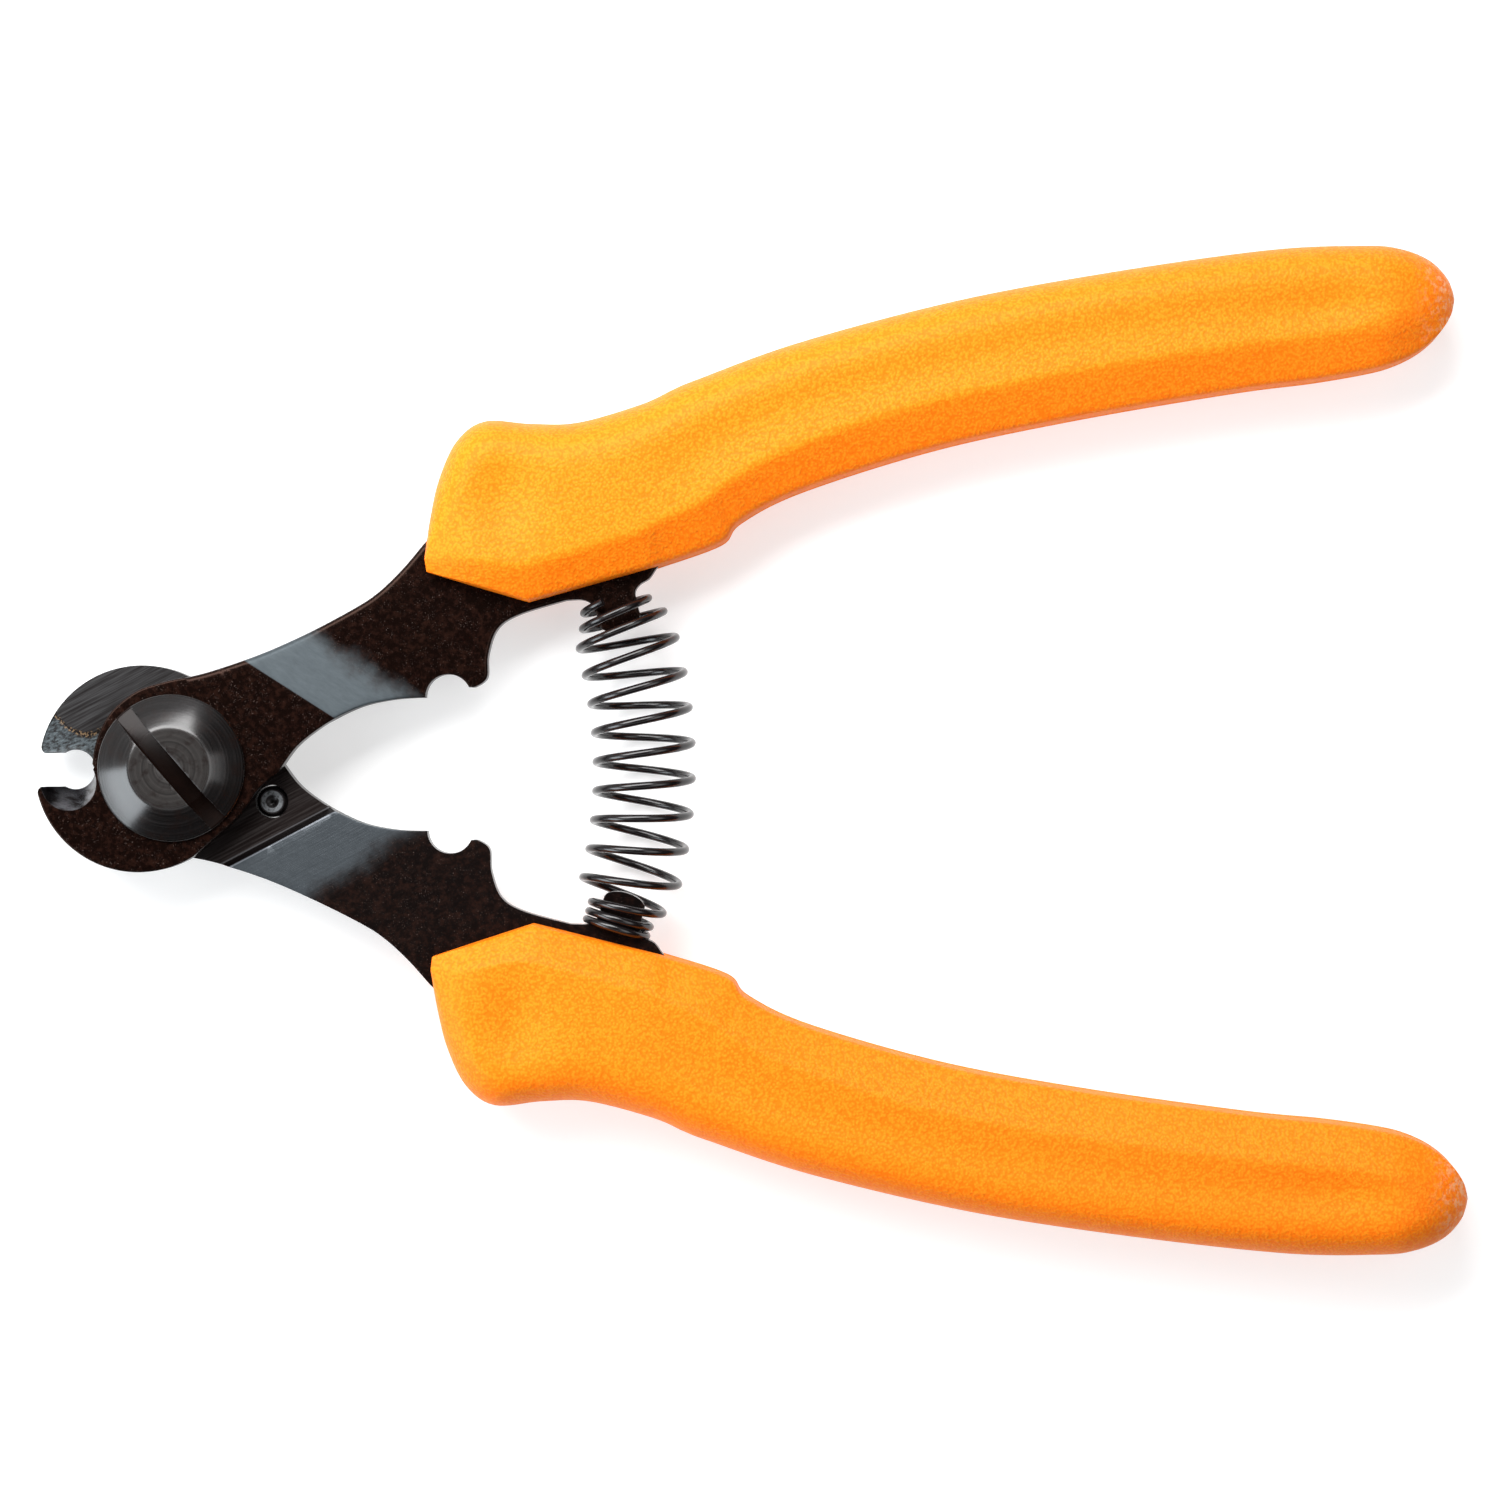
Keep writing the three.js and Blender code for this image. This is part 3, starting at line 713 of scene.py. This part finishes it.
def pivot_nut():
    """Hexagon nut with chamfered corners on its outer face."""
    low, high = node_heights(NUT_BOX)
    corner = (NUT_BOX[1][0] - NUT_BOX[0][0]) / 2 / MM
    flat = corner * math.cos(math.radians(30))
    hole = SHANK_RADIUS + 0.12
    profile = [(hole, high), (hole, low + 0.35), (hole + 0.4, low), (flat - 0.3, low), (corner, low + 0.75),
               (corner, high - 0.6), (flat - 0.1, high)]
    nut = lathe("pivot_nut_turned", profile, 120)
    hexagon = prism("hexagon", arc(0, 0, corner, 0, 300, 5), low - 1, high + 1)
    cut(nut, hexagon, "INTERSECT")
    return chamfered(nut, 0.12)


def spring_washer():
    """Flat ring with softened edges."""
    low, high = node_heights(WASHER_BOX)
    outer = (WASHER_BOX[1][0] - WASHER_BOX[0][0]) / 2 / MM
    inner = SHANK_RADIUS + 0.3
    edge = 0.12
    profile = [(inner, low + edge), (inner + edge, low), (outer - edge, low), (outer, low + edge),
               (outer, high - edge), (outer - edge, high), (inner + edge, high), (inner, high - edge)]
    return lathe("spring_washer_ring", profile, 120)


def set_screw():
    """Headless screw with a cup point above and a hexagon socket below."""
    low, high = node_heights(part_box("set_screw"))
    crest, root = SCREW_RADIUS, SCREW_RADIUS - 0.28
    pitch = 0.7
    profile = [(0, low), (root - 0.2, low), (root, low + 0.2)]
    for k in range(4):
        start = low + 0.25 + k * pitch
        profile += [(crest, start + pitch * 0.35), (crest, start + pitch * 0.5), (root, start + pitch * 0.9)]
    profile += [(root, high - 0.35), (1.55, high - 0.02), (1.2, high), (0.85, high - 0.04), (0, high - 0.75)]
    screw = lathe("set_screw_turned", profile, 64)
    corner = SOCKET_FLATS / math.sqrt(3)
    hexagon = prism("hexagon", arc(0, 0, corner, 0, 300, 5), low - 1, low + SOCKET_DEPTH)
    cut(screw, hexagon)
    screw.data.transform(Matrix.Translation((SCREW_X * MM, SCREW_Y * MM, 0)))
    return screw


# ---- return spring ----

SPRING_ARC = 59.6
WIRE = 1.0
END_COIL, BARREL_COIL = 3.95, 6.2
FIRST_TURN, LAST_TURN = 0.3, 13.5
SPRING_START = 20.25
SPRING_STEPS_PER_TURN = 40
WIRE_SIDES = 14


def spring_pitch(turn):
    """Degrees about the pivot for each turn: close turns on the tabs, wide ones between."""
    return np.interp(turn, [0, 1.7, 3.0, 10.4, 11.9], [1.9, 1.9, 3.95, 3.95, 1.1])


def spring_path():
    """(centre points, angle about the pivot of each)."""
    steps = round((LAST_TURN - FIRST_TURN) * SPRING_STEPS_PER_TURN)
    turn = np.linspace(FIRST_TURN, LAST_TURN, steps + 1)
    pitch = spring_pitch((turn[1:] + turn[:-1]) / 2) / SPRING_STEPS_PER_TURN
    angle = SPRING_START - np.concatenate([[0], np.cumsum(pitch)])
    wide = BARREL_COIL - 0.2
    coil = np.interp(turn, [0, 1.0, 2.3, 3.2, 10.6, 11.4, 13.5],
                     [END_COIL, END_COIL + 0.3, wide, BARREL_COIL, wide, END_COIL + 0.1, END_COIL])
    coil = evened(coil)
    winding = 2 * math.pi * turn
    reach = SPRING_ARC + coil * np.cos(winding)
    radial = np.radians(angle)
    points = np.column_stack([reach * np.cos(radial), reach * np.sin(radial), coil * np.sin(winding)])
    return points, angle


def tube(name, path, radius, sides):
    """Round wire along a path, its ends closed flat."""
    tangent = np.gradient(path, axis=0)
    tangent /= np.linalg.norm(tangent, axis=1)[:, None]
    side = np.cross(tangent[0], (0, 0, 1.0))
    side /= np.linalg.norm(side)
    turns = np.linspace(0, 2 * math.pi, sides, endpoint=False)
    points = []
    for centre, direction in zip(path, tangent):
        side = side - direction * (side @ direction)
        side /= np.linalg.norm(side)
        across = np.cross(direction, side)
        points += [centre + radius * (math.cos(t) * side + math.sin(t) * across) for t in turns]
    return mesh_object(name, points, ring_faces(len(path), sides), sharp=50)


def return_spring():
    """The wire, a tube along the spring's path with close turns on the tabs and wide ones between."""
    path, angle = spring_path()
    spring = tube("return_spring_wire", path, WIRE / 2, WIRE_SIDES)
    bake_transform(spring)
    return spring


# ---- materials ----

class Recipe:
    """The nodes of one material."""

    def __init__(self, name):
        self.material = bpy.data.materials.new(name)
        self.material.use_nodes = True
        self.tree = self.material.node_tree
        self.shader = self.tree.nodes["Principled BSDF"]
        attribute = self.add("ShaderNodeAttribute", attribute_name="drawing")
        self.place = attribute.outputs["Vector"]

    def add(self, kind, **settings):
        node = self.tree.nodes.new(kind)
        for key, value in settings.items():
            setattr(node, key, value)
        return node

    def feed(self, socket, value):
        if isinstance(value, bpy.types.NodeSocket):
            self.tree.links.new(value, socket)
        elif isinstance(value, tuple) and len(value) == 3 and socket.type == "RGBA":
            socket.default_value = (*value, 1)
        else:
            socket.default_value = value

    def math(self, operation, a, b=0.0, c=0.0):
        node = self.add("ShaderNodeMath", operation=operation)
        for socket, value in zip(node.inputs, (a, b, c)):
            self.feed(socket, value)
        return node.outputs[0]

    def mix(self, share, a, b):
        """Colour a where share is 0, b where it is 1."""
        node = self.add("ShaderNodeMix", data_type="RGBA")
        self.feed(node.inputs[0], share)
        self.feed(node.inputs[6], a)
        self.feed(node.inputs[7], b)
        return node.outputs[2]

    def blend(self, share, a, b):
        node = self.add("ShaderNodeMix", data_type="FLOAT")
        self.feed(node.inputs[0], share)
        self.feed(node.inputs[2], a)
        self.feed(node.inputs[3], b)
        return node.outputs[0]

    def step(self, value, start, stop):
        """0 below start, 1 above stop, smooth between."""
        node = self.add("ShaderNodeMapRange", interpolation_type="SMOOTHSTEP")
        self.feed(node.inputs[0], value)
        self.feed(node.inputs[1], start)
        self.feed(node.inputs[2], stop)
        return node.outputs[0]

    def band(self, value, start, full, last, stop):
        """1 from full to last, falling smoothly to 0 at start and stop."""
        return self.math("MULTIPLY", self.step(value, start, full), self.step(value, stop, last))

    def scaled(self, factors, turn=0.0):
        """The drawing place turned about Z by degrees, then stretched."""
        node = self.add("ShaderNodeVectorRotate", rotation_type="Z_AXIS")
        self.feed(node.inputs["Vector"], self.place)
        node.inputs["Angle"].default_value = math.radians(turn)
        stretch = self.add("ShaderNodeVectorMath", operation="MULTIPLY")
        self.feed(stretch.inputs[0], node.outputs[0])
        stretch.inputs[1].default_value = factors
        return stretch.outputs[0]

    def noise(self, vector, scale, detail, rough):
        node = self.add("ShaderNodeTexNoise")
        self.feed(node.inputs["Vector"], vector)
        node.inputs["Scale"].default_value = scale
        node.inputs["Detail"].default_value = detail
        node.inputs["Roughness"].default_value = rough
        return node.outputs["Fac"]

    def along(self, degrees):
        """Distance from the pivot axis along a direction, in millimetres."""
        node = self.add("ShaderNodeVectorMath", operation="DOT_PRODUCT")
        self.feed(node.inputs[0], self.place)
        angle = math.radians(degrees)
        node.inputs[1].default_value = (math.cos(angle), math.sin(angle), 0)
        return node.outputs["Value"]

    def split(self):
        node = self.add("ShaderNodeSeparateXYZ")
        self.feed(node.inputs[0], self.place)
        return node.outputs["X"], node.outputs["Y"], node.outputs["Z"]

    def axis_distance(self, x=0.0, y=0.0):
        """Distance from an upright line at x, y."""
        shift = self.add("ShaderNodeVectorMath", operation="SUBTRACT")
        self.feed(shift.inputs[0], self.scaled((1, 1, 0)))
        shift.inputs[1].default_value = (x, y, 0)
        length = self.add("ShaderNodeVectorMath", operation="LENGTH")
        self.feed(length.inputs[0], shift.outputs[0])
        return length.outputs["Value"]

    def relief(self, height, depth):
        """Fine surface relief; depth in millimetres."""
        node = self.add("ShaderNodeBump")
        node.inputs["Strength"].default_value = 1.0
        node.inputs["Distance"].default_value = depth * MM
        self.feed(node.inputs["Height"], height)
        self.feed(self.shader.inputs["Normal"], node.outputs["Normal"])

    def finish(self, colour, roughness, metallic=0.0, gloss=0.5):
        self.feed(self.shader.inputs["Base Color"], colour)
        self.feed(self.shader.inputs["Roughness"], roughness)
        self.feed(self.shader.inputs["Metallic"], metallic)
        self.feed(self.shader.inputs["Specular IOR Level"], gloss)
        return self.material


def grip_orange():
    """Moulded orange plastic with a fine pebbled grain, a little paler where it is rubbed."""
    r = Recipe("grip_orange")
    patches = r.noise(r.place, 0.12, 4.0, 0.6)
    colour = r.mix(patches, (0.93, 0.135, 0.0007), (0.95, 0.175, 0.0012))
    pebbles = r.add("ShaderNodeTexVoronoi", feature="SMOOTH_F1")
    r.feed(pebbles.inputs["Vector"], r.place)
    pebbles.inputs["Scale"].default_value = 2.8
    pebbles.inputs["Smoothness"].default_value = 0.7
    uneven = r.noise(r.place, 1.7, 3.0, 0.6)
    grain = r.math("ADD", pebbles.outputs["Distance"], uneven)
    high = r.step(grain, 0.7, 1.2)
    colour = r.mix(r.math("MULTIPLY", high, 0.75), (0.97, 0.25, 0.008), colour)
    tip = r.step(r.along(0), 157.0, 163.0)
    rubbed = r.math("MULTIPLY", tip, r.step(r.noise(r.place, 1.1, 5.0, 0.7), 0.48, 0.62))
    dust = r.step(r.noise(r.place, 2.2, 4.0, 0.75), 0.7, 0.76)
    pale = r.math("ADD", r.math("MULTIPLY", rubbed, 0.75), r.math("MULTIPLY", dust, 0.3))
    colour = r.mix(pale, colour, (0.9, 0.5, 0.27))
    r.relief(r.math("SUBTRACT", 1.0, grain), 0.065)
    return r.finish(colour, 0.5, gloss=0.12)


def specked(r):
    """(colour, clouds) of black oxide with brown clouds and small pale specks."""
    cloud = r.noise(r.place, 1.3, 5.0, 0.65)
    colour = r.mix(r.step(cloud, 0.42, 0.72), (0.0023, 0.00077, 0.00054), (0.013, 0.0049, 0.0032))
    fine = r.step(r.noise(r.place, 5.6, 2.0, 0.5), 0.61, 0.72)
    coarse = r.step(r.noise(r.place, 0.6, 4.0, 0.7), 0.42, 0.62)
    specks = r.math("MULTIPLY", r.math("MULTIPLY", fine, coarse), 0.5)
    return r.mix(specks, colour, (0.12, 0.089, 0.077)), cloud


def fuzzy_end(r):
    """0 on the ground ramp, 1 past its blurred end."""
    wander = r.noise(r.place, 0.28, 2.0, 0.5)
    grit = r.noise(r.place, 1.4, 4.0, 0.7)
    reach = r.math("ADD", r.along(RAMP_ANGLE), r.math("MULTIPLY_ADD", wander, 4.0, -2.0))
    reach = r.math("ADD", reach, r.math("MULTIPLY_ADD", grit, 1.6, -0.8))
    return r.step(reach, RAMP_END - 2.4, RAMP_END + 1.6)


def oxide_steel():
    """Brown-black oxide with pale specks; the ground ramp behind the head is satin blue-grey."""
    r = Recipe("oxide_steel")
    dark, cloud = specked(r)
    d = r.along(RAMP_ANGLE)
    ramp = r.math("MULTIPLY", r.step(d, RAMP_START - 0.1, RAMP_START + 0.1),
                  r.math("SUBTRACT", 1.0, fuzzy_end(r)))
    mottle = r.noise(r.scaled((0.5, 1.6, 1), 33.4), 1.2, 5.0, 0.7)
    satin = r.mix(mottle, (0.035, 0.043, 0.049), (0.075, 0.091, 0.1))
    colour = r.mix(ramp, dark, satin)
    mouth = r.step(r.axis_distance(BEVEL_X, BEVEL_Y), BEVEL_RADIUS + 0.03, BEVEL_RADIUS - 0.08)
    smear = r.step(r.noise(r.scaled((0.5, 1.3, 0.6), 20), 0.9, 3.0, 0.55), 0.36, 0.66)
    ground = r.mix(smear, (0.12, 0.12, 0.13), (0.011, 0.0062, 0.0054))
    colour = r.mix(mouth, colour, ground)
    r.relief(r.blend(ramp, cloud, mottle), 0.008)
    rough = r.blend(mouth, r.blend(ramp, 0.26, 0.42), 0.24)
    metal = r.math("MAXIMUM", r.math("MULTIPLY", ramp, 0.3), mouth)
    bare = r.math("MAXIMUM", ramp, mouth)
    r.feed(r.shader.inputs["Specular Tint"], r.mix(bare, (1, 0.62, 0.5), (1, 1, 1)))
    return r.finish(colour, rough, metal, gloss=0.16)


def lap_steel():
    """Milled sliding face: fine striations along the step, and a rough ground patch at the mouth."""
    r = Recipe("lap_steel")
    lines = r.noise(r.scaled((4.5, 0.1, 1), -STEP_ANGLE), 1.0, 3.0, 0.7)
    dark = r.mix(r.step(lines, 0.3, 0.72), (0.0077, 0.0062, 0.0062), (0.043, 0.042, 0.043))
    # Painted shade: the lap recess towards the handles, beside the front lever's edge, is coloured darker.
    recess = r.step(r.along(0), -2.0, 6.0)
    recess_shade = r.mix(r.step(lines, 0.35, 0.8), (0.0046, 0.0023, 0.0019), (0.031, 0.026, 0.025))
    dark = r.mix(recess, dark, recess_shade)
    past = fuzzy_end(r)
    foot = STEP_AT + STEP_WALL
    across = r.along(STEP_ANGLE)
    ramp = r.math("MULTIPLY", r.step(across, foot - 0.12, foot + 0.02), r.math("SUBTRACT", 1.0, past))
    mottle = r.noise(r.place, 1.1, 5.0, 0.7)
    satin = r.mix(mottle, (0.031, 0.036, 0.041), (0.062, 0.071, 0.079))
    colour = r.mix(ramp, dark, satin)
    # Along the step: a painted highlight on the edge of the lap, painted shade on the wall, and a painted
    # highlight (the glint) at its foot.
    lip = r.band(across, STEP_AT - 0.34, STEP_AT - 0.22, STEP_AT - 0.14, STEP_AT - 0.06)
    colour = r.mix(r.math("MULTIPLY", lip, 0.5), colour, (0.092, 0.092, 0.096))
    wall = r.band(across, STEP_AT - 0.1, STEP_AT, foot - 0.12, foot)
    colour = r.mix(wall, colour, (0.0015, 0.00077, 0.00077))
    glint = r.band(across, foot - 0.02, foot + 0.04, foot + 0.12, foot + 0.24)
    colour = r.mix(r.math("MULTIPLY", glint, 0.6), colour, (0.17, 0.18, 0.2))
    oxide, cloud = specked(r)
    colour = r.mix(past, colour, oxide)
    x, y, _ = r.split()
    bend = r.math("POWER", r.math("ADD", x, -RELIEF_MIDDLE_X), 2.0)
    edge = r.math("MULTIPLY_ADD", bend, RELIEF_BEND, RELIEF_REACH)
    over = r.math("ADD", y, edge)
    torn = r.math("ADD", over, r.math("MULTIPLY_ADD", r.noise(r.place, 1.6, 5.0, 0.7), 1.2, -0.6))
    near_mouth = r.math("SUBTRACT", 1.0, r.step(x, -8.0, -7.0))
    patch = r.math("MULTIPLY", r.step(torn, -0.05, 0.1), near_mouth)
    pits = r.step(r.noise(r.scaled((1.2, 2.6, 1), 20), 1.3, 4.0, 0.75), 0.35, 0.7)
    rough_ground = r.mix(pits, (0.012, 0.01, 0.01), (0.1, 0.12, 0.13))
    colour = r.mix(patch, colour, rough_ground)
    # Painted shade: a dark band along the torn rim of the ground hollow, where its edge shades it.
    rim = r.math("MULTIPLY", r.band(torn, -0.45, -0.1, 0.1, 0.45), near_mouth)
    colour = r.mix(r.math("MULTIPLY", rim, 0.85), colour, (0.0046, 0.0023, 0.0015))
    crumbs = r.math("MULTIPLY", rim, r.step(r.noise(r.place, 3.4, 2.0, 0.5), 0.52, 0.6))
    colour = r.mix(crumbs, colour, (0.17, 0.11, 0.062))
    r.relief(r.blend(patch, lines, cloud), 0.02)
    return r.finish(colour, 0.3, r.math("MULTIPLY", ramp, 0.3), gloss=0.17)


def turned_steel():
    """Blackened steel with the fine rings a lathe leaves about the pivot axis; the flat top gets a painted
    sheen of its rings, lighter than the cone, and the slot is painted black as shade.
    """
    r = Recipe("turned_steel")
    radius = r.axis_distance()
    rings = r.add("ShaderNodeCombineXYZ")
    r.feed(rings.inputs[0], radius)
    grooves = r.noise(rings.outputs[0], 3.2, 4.0, 0.75)
    cloud = r.noise(r.place, 0.7, 5.0, 0.65)
    # Painted sheen: the flat top's turned rings are coloured lighter than the same rings on the cone.
    flat = r.mix(r.step(grooves, 0.3, 0.7), (0.0077, 0.0065, 0.0062), (0.039, 0.035, 0.033))
    cone = r.mix(r.step(grooves, 0.35, 0.7), (0.0015, 0.0012, 0.0012), (0.017, 0.015, 0.015))
    on_cone = r.step(radius, HEAD_TOP_RADIUS - 0.1, HEAD_TOP_RADIUS + 0.02)
    colour = r.mix(on_cone, flat, cone)
    colour = r.mix(r.step(cloud, 0.45, 0.7), colour, (0.0092, 0.0054, 0.0046))
    off_slot = r.math("ABSOLUTE", r.along(SLOT_ANGLE + 90))
    in_slot = r.step(off_slot, SLOT_WIDTH / 2 + 0.03, SLOT_WIDTH / 2)
    _, _, height = r.split()
    in_slot = r.math("MULTIPLY", in_slot, r.step(height, PLATE - 0.1, PLATE + 0.1))
    # Painted shade: the slot is coloured near black where its walls shade it.
    slot_shade = r.mix(cloud, (0.0015, 0.00077, 0.00062), (0.011, 0.0046, 0.0031))
    colour = r.mix(in_slot, colour, slot_shade)
    r.relief(grooves, 0.01)
    rough = r.blend(on_cone, 0.3, r.blend(grooves, 0.14, 0.25))
    gloss = r.blend(on_cone, 0.4, 0.72)
    return r.finish(colour, rough, 0.1, gloss=r.blend(in_slot, gloss, 0.15))


def screw_steel():
    """Blackened set screw, with a painted highlight on the rim of its cup point and painted shade in its
    middle.
    """
    r = Recipe("screw_steel")
    radius = r.axis_distance(SCREW_X, SCREW_Y)
    # Painted highlight along the rim of the cup point, broken up by a cloud.
    rim_highlight = r.band(radius, 0.75, 0.9, 1.3, 1.45)
    cloud = r.noise(r.place, 1.5, 4.0, 0.7)
    rim_highlight = r.math("MULTIPLY", rim_highlight, r.step(cloud, 0.3, 0.55))
    # Painted shade: the middle of the cup is coloured darker than its sides.
    body = r.mix(r.step(radius, 0.5, 0.7), (0.0023, 0.0015, 0.0015), (0.023, 0.02, 0.02))
    colour = r.mix(rim_highlight, body, (0.23, 0.24, 0.25))
    return r.finish(colour, 0.3, 0.3, gloss=0.3)


def spring_black():
    """Glossy blackened wire."""
    r = Recipe("spring_black")
    cloud = r.noise(r.place, 0.9, 3.0, 0.6)
    colour = r.mix(cloud, (0.0031, 0.0019, 0.0019), (0.0092, 0.0077, 0.0085))
    return r.finish(colour, r.blend(cloud, 0.16, 0.24), 0.0, gloss=0.55)


# ---- assembly ----

ORANGE = grip_orange()
OXIDE = oxide_steel()
LAP = lap_steel()
TURNED = turned_steel()
SCREW = screw_steel()
WIRE_BLACK = spring_black()


def place(piece, node, body, slot, materials, is_turned_over=False):
    """Puts a piece, drawn as the front one lies, in its node's stead."""
    mark_drawing(piece)
    if is_turned_over:
        turn_over(piece)
    if len(piece.data.materials) < len(materials):
        piece.data.materials.clear()
        for material in materials:
            piece.data.materials.append(material)
    else:
        for k, material in enumerate(materials):
            piece.data.materials[k] = material
    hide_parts(node)
    if body:
        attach(piece, body)


def build_all():
    steel, plastic = [OXIDE, LAP], [ORANGE]
    front, back = "front_lever", "back_lever"
    place(lever("front_lever_steel", False), "front_blade_lever", front, "lever_steel", steel)
    place(lever("back_lever_steel", True), "back_blade_lever", back, "lever_steel", steel, True)
    place(grip("front_grip_moulding"), "front_grip", front, "grip_plastic", plastic)
    place(grip("back_grip_moulding"), "back_grip", back, "grip_plastic", plastic, True)
    for piece, node in ((pivot_bolt(), "pivot_bolt"), (pivot_nut(), "pivot_nut"),
                        (spring_washer(), "spring_washer")):
        place(piece, node, back, "bolt_steel", [TURNED])
    place(set_screw(), "set_screw", back, "bolt_steel", [SCREW])
    place(return_spring(), "return_spring", None, "spring_steel", [WIRE_BLACK])


build_all()

# ---- camera, floor and light ----

VIEW_X, VIEW_Y = 73.05, 1.2
VIEW_WIDTH = 190.5
VIEW_DISTANCE = 620.0
VIEW_TILT = -0.85


def camera():
    """Looks straight down on the tool, a little turned."""
    data = bpy.data.cameras.new("photo_view")
    data.sensor_width = 36.0
    data.lens = data.sensor_width * VIEW_DISTANCE / VIEW_WIDTH
    data.clip_start = 0.01
    obj = linked("photo_view", data)
    obj.location = (VIEW_X * MM, VIEW_Y * MM, (MID_Z + VIEW_DISTANCE) * MM)
    obj.rotation_euler = (0, 0, math.radians(VIEW_TILT))
    bpy.context.scene.camera = obj


FLOOR_GREY, FLOOR_GLOW, FLOOR_HALF = 0.55, 0.55, 1.5


def floor():
    """Pale sheet of paper that the tool lies on."""
    mesh = bpy.data.meshes.new("floor")
    corners = [(x * FLOOR_HALF, y * FLOOR_HALF, 0) for x, y in ((-1, -1), (1, -1), (1, 1), (-1, 1))]
    mesh.from_pydata(corners, [], [(0, 1, 2, 3)])
    obj = linked("floor", mesh)
    material = bpy.data.materials.new("floor_paper")
    material.use_nodes = True
    shader = material.node_tree.nodes["Principled BSDF"]
    shader.inputs["Base Color"].default_value = (FLOOR_GREY, FLOOR_GREY, FLOOR_GREY, 1)
    shader.inputs["Roughness"].default_value = 0.9
    shader.inputs["Emission Color"].default_value = (1, 1, 1, 1)
    shader.inputs["Emission Strength"].default_value = FLOOR_GLOW
    mesh.materials.append(material)


def area_light(name, place, target, size, watts, colour=(1, 1, 1)):
    """Rectangular softbox at a place, in metres, that faces a target."""
    data = bpy.data.lights.new(name, "AREA")
    data.shape = "RECTANGLE"
    data.size, data.size_y = size
    data.energy = watts
    data.color = colour
    obj = linked(name, data)
    obj.location = place
    obj.rotation_euler = (Vector(target) - Vector(place)).to_track_quat("-Z", "Y").to_euler()


RING_LIGHT = 0.8
LOW_DARK, LOW_BRIGHT = 0.006, 0.4
# Heights on the unit sphere between which the ring fades in, and out again.
RING_IN, RING_OUT = (0.64, 0.74), (0.84, 0.92)


def studio_world():
    """Soft ring of light high around the tool, dark overhead; low down it is bright towards -X and +Y."""
    world = bpy.data.worlds.new("studio")
    world.use_nodes = True
    nodes, links = world.node_tree.nodes, world.node_tree.links
    direction = nodes.new("ShaderNodeTexCoord")
    parts = nodes.new("ShaderNodeSeparateXYZ")
    links.new(direction.outputs["Generated"], parts.inputs[0])
    behind = nodes.new("ShaderNodeVectorMath")
    behind.operation = "DOT_PRODUCT"
    links.new(direction.outputs["Generated"], behind.inputs[0])
    behind.inputs[1].default_value = (-0.7, 0.7, 0)

    def slide(socket, start, stop, low, high):
        node = nodes.new("ShaderNodeMapRange")
        node.interpolation_type = "SMOOTHSTEP"
        links.new(socket, node.inputs[0])
        for k, value in enumerate((start, stop, low, high), 1):
            if isinstance(value, bpy.types.NodeSocket):
                links.new(value, node.inputs[k])
            else:
                node.inputs[k].default_value = value
        return node.outputs[0]

    low = slide(behind.outputs["Value"], -0.1, 0.65, LOW_DARK, LOW_BRIGHT)
    ring = slide(parts.outputs["Z"], *RING_IN, low, RING_LIGHT)
    strength = slide(parts.outputs["Z"], *RING_OUT, ring, LOW_DARK)
    links.new(strength, nodes["Background"].inputs["Strength"])
    nodes["Background"].inputs["Color"].default_value = (1, 1, 1, 1)
    bpy.context.scene.world = world


def lights():
    """Three softboxes, the studio world and the plain display transform."""
    middle = (0.07, 0, 0)
    area_light("key_softbox", (-0.04, 0.22, 0.27), middle, (0.42, 0.2), 2.5)
    area_light("left_softbox", (-0.4, -0.186, 0.23), (0, 0, 0), (0.42, 0.26), 2.2, (0.88, 0.95, 1.0))
    area_light("handle_fill", (0.34, 0.0, 0.42), (0.14, 0, 0), (0.3, 0.3), 0.45)
    studio_world()
    bpy.context.scene.view_settings.view_transform = "Standard"


camera()
floor()
lights()
